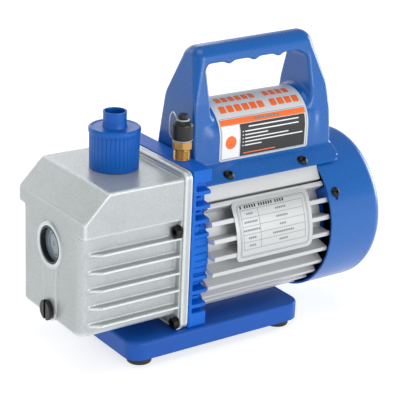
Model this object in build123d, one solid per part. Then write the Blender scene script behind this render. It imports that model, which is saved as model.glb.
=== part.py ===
from build123d import *
import os
from math import cos, radians, sin, sqrt

# Rotary vane vacuum pump, single stage, oil filled, with a fan-cooled induction motor.
# Frame: +X runs along the motor axis from the oil case to the fan, +Z is up, Z = 0 is the
# surface that the rubber feet stand on. The origin is below the middle of the machine.
# All sizes are in millimetres.

# --- Machine layout along X ---------------------------------------------------------------
shaft_z = 77.7
plug_front_x = -137.5
case_front_x = -132.5
flange_front_x = -49.5
flange_rear_x = -43.2
gasket_rear_x = -42.7
bracket_rear_x = -26.6
housing_rear_x = 84.0
cover_rim_x = 83.4
cover_end_x = 137.5

# --- Metric threads: radii of shanks, and of the tapped holes that take them ----------------
m3_radius = 1.5
m4_radius = 2.0
m5_radius = 2.5

# --- Base and feet ------------------------------------------------------------------------
foot_height = 6.3
foot_recess_z = 3.0
foot_radius = 10.5
base_top_z = 20.9
base_x = (-94.3, 64.8)
base_half_width = 55.1
base_corner = 12.0
base_wall = 3.0
foot_spots = [(x, y) for x in (-80.0, 50.0) for y in (-42.0, 42.0)]
bracket_bolt_spots = [(-34.6, -38.0), (-34.6, 38.0)]
motor_bolt_spots = [(40.0, -9.0), (40.0, 9.0)]
motor_foot_half_width = 22.0
base_bolt_spots = bracket_bolt_spots + motor_bolt_spots
base_bolt_seat_z = 12.3
base_bolt_reach_z = 32.3
base_rib_half_thickness = 1.2
base_rib_ys = (-42.0, -21.0, 0.0, 21.0, 42.0)
base_cross_ribs = 6

# --- Oil case -----------------------------------------------------------------------------
case_wall = 3.0
case_corner_radius = 6.0
case_bottom_z = 30.1
case_half_width = 42.8
hood_half_width = 48.4
hood_bottom_z = 108.3
chamfer_low_z = 120.5
chamfer_top_x = -112.5
roof_z = 140.8
flange_half_width = 51.0
flange_bottom_z = base_top_z
flange_top_z = 145.8
rib_zs = [38.6, 52.5, 66.4, 80.3, 94.2]
rib_thickness = 2.0
case_bolt_spots = [(y, z) for y in (-45.9, 45.9) for z in (25.6, 99.5)]
case_bolt_hole_radius = 2.6
case_bolt_seat_radius = 4.75
case_bolt_length = 13.0
lip_depth = 3.1
lip_height = 1.7

# --- Sight glass and drain ----------------------------------------------------------------
glass_z = 89.0
glass_boss_radius = 18.0
glass_pocket_radius = 14.4
glass_window_radius = 11.0
glass_boss_front_x = case_front_x - 1.6
pad_front_x = case_front_x - 1.0
drain_boss_radius = 9.0
drain_z = 37.5
drain_head_radius = 8.0
drain_thread_radius = 4.0

# --- Exhaust cap --------------------------------------------------------------------------
exhaust_x = -79.2
neck_radius = 14.5
neck_bore_radius = 11.5
neck_height = 10.0
cap_radius = 18.8
cap_lip_radius = 19.4
cap_height = 31.5
spout_radius = 8.9
spout_bore_radius = 7.6
spout_height = 11.7
flute_count = 36

# --- Bracket between case and motor -------------------------------------------------------
bracket_half_width = 51.0
bracket_top_z = 146.3
bracket_plate_rear_x = -39.5
bracket_core_half_width = 43.3
bracket_drum_radius = 51.0
bracket_top_block_z = 136.2
bracket_bottom_block_z = 32.1
bracket_ribs_z = [shaft_z - 6.2 + 11.3 * k for k in range(-3, 6)]
seal_radius = 11.0
seal_rear_x = -36.7
bearing_radius = 14.0
bearing_width = 8.0
front_bearing_x = (bracket_rear_x - bearing_width, bracket_rear_x)
rear_bearing_x = (housing_rear_x, housing_rear_x + bearing_width)

# --- Inlet fitting ------------------------------------------------------------------------
inlet_x = -34.1
inlet_y = -22.3
inlet_neck_radius = 7.2
hex_bottom_z = 154.6
hex_top_z = 160.8
hex_flats = 14.0
inlet_bore_radius = 3.0
flare_thread_radius = 5.55
inlet_cap_radius = 8.0
fitting_top_z = 172.0
inlet_cap_z = (161.9, 176.2)
knob_radius = 3.4
knob_height = 4.8

# --- Motor --------------------------------------------------------------------------------
stator_radius = 43.0
core_radius = 47.5
fin_radius = 59.5
fin_angles = [38.2 - 13.2 * k for k in range(8)]
fin_thickness = 3.8
pad_radius = 62.9
pad_edge_angle = 42.0
pad_top_angle = 52.0
rotor_core_radius = 24.0
shaft_radius = 6.0
rotor_shaft_radius = 8.0
fan_shaft_radius = 5.0
winding_radii = (40.0, 27.0)
winding_length = 12.0
slot_count = 24
tie_bolt_circle = 52.0
tie_bolt_angles = (70, 110, 250, 290)
stator_x = (2.0, 58.0)
nameplate_x = (-6.2, 66.2)

# --- Fan cover ----------------------------------------------------------------------------
cover_radius = 63.0
cover_wall = 1.5
cover_edge_radius = 10.0
cover_screw_x = 90.8
cover_screw_angles = (29.0, 151.0, 270.0)
vent_radius = 47.0
vent_pitch = 7.0
fan_radius = 54.0
fan_x = (101.0, 123.0)
fan_plate_x = (101.0, 103.5)
blade_count = 10

# --- Handle -------------------------------------------------------------------------------
handle_x = (-25.3, 107.6)
handle_wall = 3.0
skirt_inner_radius = 63.2
skirt_radius = 65.6
skirt_edge_angle = 50.0
saddle_radius = 26.0
saddle_z = 155.5
label_low_z = 139.2
grip_z = (224.4, 227.2)
kink_z = 185.0
grip_half_width = 8.8
kink_half_width = 20.4
handle_foot_half_width = 25.8
gap_x = (-8.0, 88.4)
gap_top_z = (210.8, 212.2)
groove_count = 4
groove_pitch = 23.5
groove_radius = 25.5
handle_screw_xs = (-0.4, 70.6)
handle_screw_angle = 56.0
panel_x = 104.4
panel_half_width = 17.5
panel_z = (143.0, 184.5)
inlet_opening = (13.6, 9.9)
switch_opening = (9.6, 6.6)
switch_z = 175.2
switch_pivot_x = 101.6
switch_pin_radius = 1.2
power_z = 155.1

# --- Pump module --------------------------------------------------------------------------
plate_thickness = 8.0
cylinder_length = 32.0
bore_radius = 26.0
bore_offset = 4.0
pump_rotor_radius = 21.7
slot_width = 4.1
vane_thickness = 4.0
vane_height = 15.5
stub_radius = 9.0
running_gap = 0.05
cylinder_half_width = 35.0
cylinder_z = (41.7, 113.7)
rear_plate_front_x = gasket_rear_x - plate_thickness
cylinder_front_x = rear_plate_front_x - cylinder_length
front_plate_front_x = cylinder_front_x - plate_thickness
oil_way_z = 107.0
valve_x = -68.0
valve_y = 10.0
valve_screw_xs = (valve_x + 7.0, valve_x + 12.0)
baffle_screw_y = 25.0
baffle_half_width = 30.0
baffle_top_z = 129.0
pump_bolt_spots = [(y, z) for y in (-29.0, 29.0) for z in (shaft_z - 30.0, shaft_z + 30.0)]


# --- Shape helpers ------------------------------------------------------------------------
def block(x, y, z):
    """Box between the given (low, high) pairs."""
    centre = Pos(sum(x) / 2, sum(y) / 2, sum(z) / 2)
    return centre * Box(x[1] - x[0], y[1] - y[0], z[1] - z[0])


def x_cylinder(radius, x, y=0.0, z=shaft_z):
    """Cylinder along X between the two x values."""
    return Pos(sum(x) / 2, y, z) * Rot(0, 90, 0) * Cylinder(radius, x[1] - x[0])


def x_ring(outer, inner, x, y=0.0, z=shaft_z):
    return x_cylinder(outer, x, y, z) - x_cylinder(inner, (x[0] - 1, x[1] + 1), y, z)


def z_cylinder(radius, z, x, y):
    """Cylinder along Z between the two z values."""
    return Pos(x, y, sum(z) / 2) * Cylinder(radius, z[1] - z[0])


def z_ring(outer, inner, z, x, y):
    return z_cylinder(outer, z, x, y) - z_cylinder(inner, (z[0] - 1, z[1] + 1), x, y)


def x_slab(half_width, z, x, corner):
    """Plate across X with rounded corners in the YZ plane."""
    outline = Plane(origin=(x[0], 0, sum(z) / 2), x_dir=(0, 1, 0), z_dir=(1, 0, 0))
    return extrude(outline * RectangleRounded(2 * half_width, z[1] - z[0], corner), x[1] - x[0])


def side_prism(points, half_width):
    """Closed outline of (x, z) points, extruded across Y to both half widths."""
    face = Plane.XZ * make_face(Polyline(*points, close=True))
    return extrude(face, half_width, both=True)


def front_prism(points, x):
    """Closed outline of (y, z) points, extruded along X."""
    plane = Plane(origin=(x[0], 0, 0), x_dir=(0, 1, 0), z_dir=(1, 0, 0))
    return extrude(plane * make_face(Polyline(*points, close=True)), x[1] - x[0])


def on_circle(radius, angle):
    """(y, z) of a point at an angle above the -Y direction, around the shaft."""
    return (-radius * cos(radians(angle)), shaft_z + radius * sin(radians(angle)))


def radial(angle):
    """Frame on the shaft axis whose Z points outwards at an angle above -Y."""
    return Pos(0, 0, shaft_z) * Rot(90 - angle, 0, 0)


def merged_shapes(shapes):
    merged = shapes[0]
    for shape in shapes[1:]:
        merged = merged + shape
    return merged


def group(pieces):
    """Separate solids that share one node."""
    return Compound(children=list(pieces))


def save(node, shape):
    shape.label = node
    export_step(shape, os.path.join("parts", node + ".step"))


# --- Fasteners ----------------------------------------------------------------------------
def socket_screw(head_radius, head_height, shank_radius, shank_length):
    """Socket head cap screw standing on Z = 0, head up."""
    head = Pos(0, 0, head_height / 2) * Cylinder(head_radius, head_height)
    head = chamfer(head.edges().group_by(Axis.Z)[-1], head_height * 0.1)
    depth = head_height * 0.6
    socket = extrude(RegularPolygon(head_radius * 0.56, 6), depth)
    shank = Pos(0, 0, -shank_length / 2) * Cylinder(shank_radius, shank_length)
    return head - Pos(0, 0, head_height - depth) * socket + shank


def button_screw(head_radius, head_height, shank_radius, shank_length):
    """Low domed socket screw standing on Z = 0, head up."""
    dome_radius = (head_radius ** 2 + head_height ** 2) / (2 * head_height)
    dome = Pos(0, 0, head_height - dome_radius) * Sphere(dome_radius)
    head = dome & (Pos(0, 0, head_height / 2) * Cylinder(head_radius, head_height))
    socket = extrude(RegularPolygon(head_radius * 0.5, 6), head_height)
    shank = Pos(0, 0, -shank_length / 2) * Cylinder(shank_radius, shank_length)
    return head - Pos(0, 0, head_height * 0.3) * socket + shank


# --- Base ---------------------------------------------------------------------------------
def base_plate():
    length = base_x[1] - base_x[0]
    centre = Pos(sum(base_x) / 2, 0, foot_height)
    height = base_top_z - foot_height
    tray = centre * extrude(RectangleRounded(length, 2 * base_half_width, base_corner), height)
    tray = fillet(tray.edges().group_by(Axis.Z)[-1], 2.5)
    inner_width = 2 * (base_half_width - base_wall)
    inner_outline = RectangleRounded(length - 2 * base_wall, inner_width, base_corner - base_wall)
    inner = centre * extrude(inner_outline, height - base_wall)
    rib_z = (foot_height + 2, base_top_z - base_wall)
    ribs = []
    for k in range(1, base_cross_ribs + 1):
        x = base_x[0] + length * k / (base_cross_ribs + 1)
        across = (x - base_rib_half_thickness, x + base_rib_half_thickness)
        ribs.append(block(across, (-base_half_width, base_half_width), rib_z))
    for y in base_rib_ys:
        across = (y - base_rib_half_thickness, y + base_rib_half_thickness)
        ribs.append(block(base_x, across, rib_z))
    bosses = [z_cylinder(7.0, (foot_height, base_top_z - 1), x, y) for x, y in foot_spots + base_bolt_spots]
    plate = tray - inner + ((merged_shapes(ribs) & inner) + bosses)
    for x, y in foot_spots:
        plate -= z_cylinder(m4_radius, (0, base_top_z - 4), x, y)
    for x, y in base_bolt_spots:
        plate -= z_cylinder(2.6, (0, base_top_z + 1), x, y)
        plate -= z_cylinder(5.0, (0, base_bolt_seat_z), x, y)
    return plate


def rubber_feet():
    feet = []
    for x, y in foot_spots:
        foot = Pos(x, y, foot_height / 2) * Cone(foot_radius - 1.2, foot_radius, foot_height)
        foot = fillet(foot.edges().group_by(Axis.Z)[0], 1.0)
        foot -= z_cylinder(4.2, (-1, foot_recess_z), x, y)
        feet.append(foot - z_cylinder(2.05, (0, 8), x, y))
    return group(feet)


def foot_screws():
    screw = Rot(180, 0, 0) * button_screw(3.6, 2.0, m4_radius, 12.0)
    return group(Pos(x, y, foot_recess_z) * screw for x, y in foot_spots)


def base_bolts():
    length = base_bolt_reach_z - base_bolt_seat_z
    bolt = Rot(180, 0, 0) * socket_screw(4.2, 5.0, m5_radius, length)
    return group(Pos(x, y, base_bolt_seat_z) * bolt for x, y in base_bolt_spots)


# --- Oil case -----------------------------------------------------------------------------
def hood_outline(inset):
    """(x, z) outline of the hood, moved inwards by the wall."""
    slope = (roof_z - chamfer_low_z) / (chamfer_top_x - case_front_x)
    shift = inset * (sqrt(1 + slope ** 2) - 1) / slope
    front = case_front_x + inset
    low = chamfer_low_z - inset * sqrt(1 + slope ** 2) + inset * slope
    return [(front, hood_bottom_z + inset), (front, low), (chamfer_top_x + shift, roof_z - inset),
            (flange_rear_x, roof_z - inset), (flange_rear_x, hood_bottom_z + inset)]


def case_shell():
    width = case_half_width
    body = block((case_front_x, flange_rear_x), (-width, width), (case_bottom_z, roof_z - 10))
    body = fillet(body.edges().filter_by(Axis.Z).group_by(Axis.X)[0], case_corner_radius)
    body = fillet(body.edges().group_by(Axis.Z)[0], 3.0)
    body &= side_prism([(case_front_x, 0), (case_front_x, chamfer_low_z), (chamfer_top_x, roof_z),
                        (flange_rear_x, roof_z), (flange_rear_x, 0)], 60)
    hood = side_prism(hood_outline(0.0), hood_half_width)
    hood = fillet(hood.edges().filter_by(Axis.Y, reverse=True).group_by(Axis.Z)[-1], 2.0)
    flange = x_slab(flange_half_width, (flange_bottom_z, flange_top_z), (flange_front_x, flange_rear_x), 5.0)
    flange = fillet(flange.edges().group_by(Axis.X)[0], 1.5)
    return body + hood + flange


def case_cavity():
    width = case_half_width - case_wall
    lower_z = (case_bottom_z + case_wall, 115)
    lower = block((case_front_x + case_wall, flange_rear_x + 1), (-width, width), lower_z)
    lower = fillet(lower.edges().filter_by(Axis.Z).group_by(Axis.X)[0], 4.0)
    upper = side_prism(hood_outline(case_wall), hood_half_width - case_wall)
    return lower + upper + block((flange_rear_x - 1, flange_rear_x + 1), (-width, width), (60, 137))


def case_ribs():
    """Cooling ribs on both sides: each rises over 10 mm at the front, then runs flush with the hood."""
    ribs = []
    for side in (-1, 1):
        for z in rib_zs:
            inner = side * (case_half_width - 0.5)
            outer = side * hood_half_width
            outline = [(case_front_x + 6, inner), (case_front_x + 16, outer), (flange_front_x + 1, outer),
                       (flange_front_x + 1, inner)]
            face = Pos(0, 0, z - rib_thickness / 2) * make_face(Polyline(*outline, close=True))
            ribs.append(extrude(face, rib_thickness, dir=(0, 0, 1)))
    return ribs


def oil_case():
    front = case_front_x
    case = case_shell() + merged_shapes(case_ribs())
    case += x_cylinder(glass_boss_radius, (glass_boss_front_x, front + 2), z=glass_z)
    pad = [(-12.0, glass_z - 6), (12.0, glass_z - 6), (9.0, drain_z), (-9.0, drain_z)]
    case += front_prism(pad, (pad_front_x, front + 1))
    case += x_cylinder(drain_boss_radius, (pad_front_x, front + 1), z=drain_z)
    lip_z = (flange_bottom_z, flange_bottom_z + lip_height)
    case += block((flange_front_x - lip_depth, flange_front_x + 1), (-50.0, 50.0), lip_z)
    case += z_cylinder(neck_radius, (roof_z - 1, roof_z + neck_height), exhaust_x, 0)
    case -= case_cavity()
    case += x_cylinder(glass_boss_radius, (front + 1, front + 9), z=glass_z)
    case += x_cylinder(7.0, (front + 1, front + 8), z=drain_z + 1)
    case -= x_cylinder(glass_pocket_radius, (front - 3, front + 5.6), z=glass_z)
    case -= x_cylinder(glass_window_radius, (front, front + 10), z=glass_z)
    case -= x_cylinder(drain_thread_radius, (front - 3, front + 9), z=drain_z)
    case -= z_cylinder(neck_bore_radius, (roof_z - 6, roof_z + neck_height + 1), exhaust_x, 0)
    for y, z in case_bolt_spots:
        case -= x_cylinder(case_bolt_hole_radius, (flange_front_x - 1, flange_rear_x + 1), y, z)
        case -= x_cylinder(case_bolt_seat_radius, (flange_front_x - 7, flange_front_x), y, z)
    return case


def case_gasket():
    x = (flange_rear_x, gasket_rear_x)
    cut_x = (flange_rear_x - 1, gasket_rear_x + 1)
    sheet = x_slab(flange_half_width - 1, (flange_bottom_z + 1, flange_top_z - 1), x, 4.0)
    opening_width = case_half_width - case_wall
    sheet -= block(cut_x, (-opening_width, opening_width), (case_bottom_z + case_wall, roof_z - case_wall))
    for y, z in case_bolt_spots:
        sheet -= x_cylinder(case_bolt_hole_radius, cut_x, y, z)
    return sheet


def case_bolts():
    bolt = Rot(0, -90, 0) * socket_screw(4.25, 5.0, m5_radius, case_bolt_length)
    return group(Pos(flange_front_x, y, z) * bolt for y, z in case_bolt_spots)


def sight_glass_lens():
    return x_cylinder(glass_pocket_radius, (case_front_x + 3.1, case_front_x + 5.6), z=glass_z)


def sight_glass_ring():
    return x_ring(glass_pocket_radius, 12.9, (case_front_x - 0.9, case_front_x + 3.1), z=glass_z)


def drain_plug():
    head = x_cylinder(drain_head_radius, (plug_front_x, case_front_x - 2), z=drain_z)
    head = chamfer(head.edges().group_by(Axis.X)[0], 0.8)
    head -= block((plug_front_x - 1, plug_front_x + 2), (-1.3, 1.3), (drain_z - 9, drain_z + 9))
    return head + x_cylinder(drain_thread_radius, (case_front_x - 3, case_front_x + 8), z=drain_z)


def drain_plug_seal():
    return x_ring(7.0, drain_thread_radius, (case_front_x - 2, case_front_x - 1), z=drain_z)


# --- Exhaust cap --------------------------------------------------------------------------
def exhaust_cap():
    low = roof_z + 0.2
    top = roof_z + cap_height
    lip_low = top - 2.0
    cap = z_cylinder(cap_radius, (low, lip_low), exhaust_x, 0)
    for k in range(flute_count):
        groove = Pos(cap_radius + 0.5, 0, (low + lip_low) / 2) * Cylinder(0.9, lip_low - low + 2)
        cap -= Pos(exhaust_x, 0, 0) * Rot(0, 0, 360 * k / flute_count) * groove
    lip = z_cylinder(cap_lip_radius, (lip_low, top), exhaust_x, 0)
    cap += fillet(lip.edges().group_by(Axis.Z)[-1], 0.8)
    cap += z_cylinder(spout_radius, (top - 1, top + spout_height), exhaust_x, 0)
    cap -= z_cylinder(neck_radius + 0.3, (low - 1, roof_z + neck_height + 1), exhaust_x, 0)
    cap -= z_cylinder(16.2, (roof_z + neck_height + 1, top - 2.5), exhaust_x, 0)
    return cap - z_cylinder(spout_bore_radius, (top - 4, top + spout_height + 1), exhaust_x, 0)


def exhaust_cap_gasket():
    z = (roof_z + neck_height, roof_z + neck_height + 1)
    return z_ring(neck_radius, neck_bore_radius + 0.5, z, exhaust_x, 0)


def filter_element():
    z = (roof_z + neck_height + 1, roof_z + cap_height - 2.5)
    return z_ring(16.0, 6.0, z, exhaust_x, 0)


# --- Bracket ------------------------------------------------------------------------------
def bracket_ribs(x):
    """Ribs on both sides of the core, each with a thinner, shorter one above it."""
    ribs = []
    for side in (-1, 1):
        span = sorted((side * 20.0, side * bracket_half_width))
        short = sorted((side * 20.0, side * 47.0))
        for z in bracket_ribs_z:
            ribs.append(block(x, span, (z - 1.6, z + 1.6)))
            ribs.append(block((x[0], x[1] - 5), short, (z + 4.9, z + 6.5)))
    return ribs


def motor_bracket():
    plate_x = (gasket_rear_x, bracket_plate_rear_x)
    drum_x = (gasket_rear_x, bracket_rear_x)
    width = (-bracket_half_width, bracket_half_width)
    core_width = (-bracket_core_half_width, bracket_core_half_width)
    bracket = x_slab(bracket_half_width, (flange_bottom_z, bracket_top_z), plate_x, 5.0)
    bracket += x_cylinder(bracket_drum_radius, drum_x)
    bracket += block(drum_x, core_width, (bracket_bottom_block_z - 1, bracket_top_block_z + 1))
    top = block(drum_x, width, (bracket_top_block_z, bracket_top_z))
    bracket += fillet(top.edges().filter_by(Axis.X).group_by(Axis.Z)[-1], 4.0)
    bracket += block(drum_x, width, (flange_bottom_z, bracket_bottom_block_z))
    bracket += merged_shapes(bracket_ribs(drum_x))
    for y, z in case_bolt_spots:
        bracket += x_cylinder(4.2, (gasket_rear_x, gasket_rear_x + 7.2), y, z)
    bracket &= x_slab(bracket_half_width, (flange_bottom_z, bracket_top_z), drum_x, 4.0)
    bracket -= x_cylinder(seal_radius, (gasket_rear_x - 1, seal_rear_x))
    bracket -= x_cylinder(shaft_radius + 0.6, (seal_rear_x - 1, bracket_rear_x))
    bracket -= x_cylinder(bearing_radius, (bracket_rear_x - bearing_width, bracket_rear_x + 1))
    for y, z in case_bolt_spots:
        bracket -= x_cylinder(m5_radius, (gasket_rear_x - 1, flange_front_x + case_bolt_length), y, z)
    for y, z in pump_bolt_spots:
        bracket -= x_cylinder(m5_radius, (gasket_rear_x - 1, gasket_rear_x + 10), y, z)
    for angle in tie_bolt_angles:
        y, z = on_circle(tie_bolt_circle, angle)
        bracket -= x_cylinder(m4_radius, (bracket_rear_x - 10, bracket_rear_x + 1), y, z)
    for x, y in bracket_bolt_spots:
        bracket -= z_cylinder(m5_radius, (0, base_bolt_reach_z), x, y)
    bracket -= z_cylinder(6.0, (136.3, bracket_top_z + 1), inlet_x, inlet_y)
    bracket -= z_cylinder(inlet_bore_radius, (104.0, 140.0), inlet_x, inlet_y)
    return bracket - x_cylinder(inlet_bore_radius, (gasket_rear_x - 1, inlet_x), inlet_y, oil_way_z)


# --- Inlet --------------------------------------------------------------------------------
def inlet_fitting():
    body = z_cylinder(6.0, (136.3, bracket_top_z), inlet_x, inlet_y)
    body += z_cylinder(inlet_neck_radius, (bracket_top_z, hex_bottom_z), inlet_x, inlet_y)
    hexagon = RegularPolygon(hex_flats / 2, 6, major_radius=False)
    body += Pos(inlet_x, inlet_y, hex_bottom_z) * extrude(hexagon, hex_top_z - hex_bottom_z)
    body += z_cylinder(flare_thread_radius, (hex_top_z, fitting_top_z - 3), inlet_x, inlet_y)
    body += Pos(inlet_x, inlet_y, fitting_top_z - 1.5) * Cone(flare_thread_radius, 3.6, 3.0)
    return body - z_cylinder(inlet_bore_radius, (130, fitting_top_z + 1), inlet_x, inlet_y)


def inlet_cap():
    low, top = inlet_cap_z
    cap = z_cylinder(inlet_cap_radius, (low, top), inlet_x, inlet_y)
    cap = fillet(cap.edges().group_by(Axis.Z)[-1], 1.2)
    cap += z_cylinder(knob_radius, (top - 1, top + knob_height), inlet_x, inlet_y)
    return cap - z_cylinder(flare_thread_radius + 0.3, (low - 1, fitting_top_z + 1.4), inlet_x, inlet_y)


def inlet_cap_seal():
    z = (fitting_top_z + 0.3, fitting_top_z + 1.4)
    return z_cylinder(flare_thread_radius, z, inlet_x, inlet_y)


def cap_strap():
    """Moulded strap: a ring on the cap's knob and a ring below the cap, joined behind the cap."""
    low, top = inlet_cap_z
    upper = z_ring(5.0, knob_radius + 0.2, (top, top + 1.0), inlet_x, inlet_y)
    lower = z_ring(7.6, 6.2, (hex_top_z + 0.1, low - 0.1), inlet_x, inlet_y)
    away = Rot(0, 0, 130)
    band = Polyline((4.2, top + 0.1), (6.0, top + 4.5), (8.2, top + 6.5), (10.2, top + 4.5), (10.6, top - 6),
                    (10.0, low + 2), (8.4, low - 1.0), (7.2, low - 1.0), (7.2, low - 0.1), (8.0, low - 0.1),
                    (9.2, low + 2.2), (9.6, top - 6), (9.3, top + 4.1), (8.2, top + 5.4), (6.8, top + 4.0),
                    (5.0, top + 0.1), close=True)
    strap = extrude(Plane.XZ * make_face(band), 1.5, both=True)
    return upper + lower + Pos(inlet_x, inlet_y, 0) * away * strap


# --- Motor --------------------------------------------------------------------------------
def motor_housing():
    span = (bracket_rear_x, housing_rear_x)
    housing = x_cylinder(core_radius, span)
    for side in (0, 180):
        for angle in fin_angles:
            tilt = angle if side == 0 else 180 - angle
            fin = block(span, (-fin_thickness / 2, fin_thickness / 2), (core_radius - 1.5, fin_radius))
            fin = fillet(fin.edges().filter_by(Axis.X).group_by(Axis.Z)[-1], 0.8)
            housing += radial(tilt) * fin
    edge = on_circle(fin_radius, pad_edge_angle)
    crown = on_circle(pad_radius, pad_top_angle)
    shoulder = [edge, crown, (-12.0, 139.0), (12.0, 139.0), (-crown[0], crown[1]), (-edge[0], edge[1]),
                (34.0, 105.0), (-34.0, 105.0)]
    pad_span = (bracket_rear_x, cover_rim_x - 0.2)
    housing += front_prism(shoulder, pad_span)
    pad = [(-38.0, 105.0), (38.0, 105.0), (-crown[0], crown[1]), (38.0, 145.0), (-38.0, 145.0), crown]
    housing += x_cylinder(pad_radius, pad_span) & front_prism(pad, pad_span)
    housing += block(pad_span, (-motor_foot_half_width, motor_foot_half_width), (base_top_z, 45.0))
    housing -= x_cylinder(stator_radius, (span[0] - 1, span[1] + 1))
    for angle in tie_bolt_angles:
        y, z = on_circle(tie_bolt_circle, angle)
        housing -= x_cylinder(m4_radius, (span[0] - 1, span[1] + 1), y, z)
    for x in handle_screw_xs:
        for angle in (handle_screw_angle, 180 - handle_screw_angle):
            housing -= Pos(x, 0, 0) * radial(angle) * (Pos(0, 0, 58) * Cylinder(m4_radius, 12))
    for x, y in motor_bolt_spots:
        housing -= z_cylinder(m5_radius, (0, base_bolt_reach_z), x, y)
    for angle in (45, 90, 135):
        y, z = on_circle(54.5, angle)
        housing -= x_cylinder(4.5, (span[0] - 1, span[1] + 1), y, z)
    return housing - z_cylinder(5.0, (100, 150), -14.0, 0)


def nameplate():
    plate = x_ring(fin_radius + 0.8, fin_radius + 0.03, nameplate_x)
    height = 2 * (fin_radius + 1.5) * sin(radians(22.4))
    outline = RectangleRounded(nameplate_x[1] - nameplate_x[0], height, 4.0)
    window = Pos(sum(nameplate_x) / 2, 0, 0) * radial(15.0) * extrude(outline, 80)
    return plate & window


def stator_core():
    core = x_cylinder(stator_radius, stator_x)
    core -= x_cylinder(rotor_core_radius + 0.4, (stator_x[0] - 1, stator_x[1] + 1))
    slot = block((stator_x[0] - 1, stator_x[1] + 1), (-2.2, 2.2), (rotor_core_radius, 35.0))
    for k in range(slot_count):
        core -= radial(360 * k / slot_count) * slot
    return core


def stator_windings():
    """End turns at both ends, joined by the bundles that fill the stator slots."""
    front = x_ring(*winding_radii, (stator_x[0] - winding_length, stator_x[0]))
    rear = x_ring(*winding_radii, (stator_x[1], stator_x[1] + winding_length))
    coils = fillet(front.edges().group_by(Axis.X)[0], 3.0) + fillet(rear.edges().group_by(Axis.X)[-1], 3.0)
    bundle = block((stator_x[0] - 1, stator_x[1] + 1), (-1.8, 1.8), (rotor_core_radius + 3.2, 34.4))
    for k in range(slot_count):
        coils += radial(360 * k / slot_count) * bundle
    return coils


def rotor_core():
    core = x_cylinder(rotor_core_radius, stator_x)
    for end in ((stator_x[0] - 6, stator_x[0]), (stator_x[1], stator_x[1] + 6)):
        core += x_cylinder(rotor_core_radius - 1, end)
    return core - x_cylinder(rotor_shaft_radius, (stator_x[0] - 10, stator_x[1] + 10))


def motor_shaft():
    shaft = x_cylinder(shaft_radius, (-43.1, rear_bearing_x[1]))
    shaft += x_cylinder(rotor_shaft_radius, (-16.0, 76.0))
    shaft += x_cylinder(fan_shaft_radius, (rear_bearing_x[1], fan_x[1] + 3))
    return shaft + block((-48.0, -42.5), (-4.5, 4.5), (shaft_z - 1.9, shaft_z + 1.9))


def bearing_outer_rings():
    return group(x_ring(bearing_radius, 12.0, x) for x in (front_bearing_x, rear_bearing_x))


def bearing_inner_rings():
    return group(x_ring(8.6, shaft_radius, x) for x in (front_bearing_x, rear_bearing_x))


def bearing_balls():
    """Eight balls in each bearing, halfway between its rings."""
    balls = []
    for x in (front_bearing_x, rear_bearing_x):
        for k in range(8):
            balls.append(Pos(sum(x) / 2, 0, 0) * radial(45.0 * k) * (Pos(0, 0, 10.3) * Sphere(1.4)))
    return group(balls)


def rear_end_bell():
    rear = housing_rear_x
    bell = x_cylinder(core_radius, (rear, rear + 4)) + x_cylinder(18.0, (rear, rear + 11))
    for angle in cover_screw_angles:
        bell += radial(angle) * block((rear, rear + 11), (-6.0, 6.0), (30.0, 61.3))
    bell &= x_cylinder(61.3, (rear, rear + 11))
    for angle in tie_bolt_angles:
        y, z = on_circle(tie_bolt_circle, angle)
        bell += x_cylinder(6.0, (rear, rear + 4), y, z)
    for angle in (0, 60, 90, 120, 180, 240, 300):
        bell -= radial(angle) * (Pos(rear + 2, 0, 31) * Rot(0, 90, 0) * Cylinder(6.5, 8))
    for angle in tie_bolt_angles:
        y, z = on_circle(tie_bolt_circle, angle)
        bell -= x_cylinder(m4_radius, (rear - 1, rear + 12), y, z)
    for angle in cover_screw_angles:
        bell -= Pos(cover_screw_x, 0, 0) * radial(angle) * (Pos(0, 0, 57) * Cylinder(m4_radius, 12))
    bell -= x_cylinder(bearing_radius, (rear - 1, rear + bearing_width + 0.6))
    return bell - x_cylinder(7.0, (rear, rear + 12))


def tie_bolts():
    head_x = housing_rear_x + 4
    bolt = Rot(0, 90, 0) * socket_screw(3.5, 4.0, m4_radius, head_x - bracket_rear_x + 10)
    return group(Pos(head_x, *on_circle(tie_bolt_circle, angle)) * bolt for angle in tie_bolt_angles)


def wave_washer():
    return x_ring(13.5, 10.5, (housing_rear_x + bearing_width, housing_rear_x + bearing_width + 0.6))


def shaft_seal():
    return x_ring(seal_radius, shaft_radius + 0.05, (gasket_rear_x, seal_rear_x))


def cooling_fan():
    fan = x_cylinder(12.0, fan_x) + x_cylinder(fan_radius, fan_plate_x)
    for k in range(blade_count):
        blade = block((fan_plate_x[1] - 0.5, fan_x[1] - 2), (-0.9, 0.9), (10.0, fan_radius))
        fan += radial(360 * k / blade_count) * blade
    return fan - x_cylinder(fan_shaft_radius, (fan_x[0] - 1, fan_x[1] + 1))


def fan_clip():
    return x_ring(8.0, fan_shaft_radius, (fan_x[1], fan_x[1] + 1.5))


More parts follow.
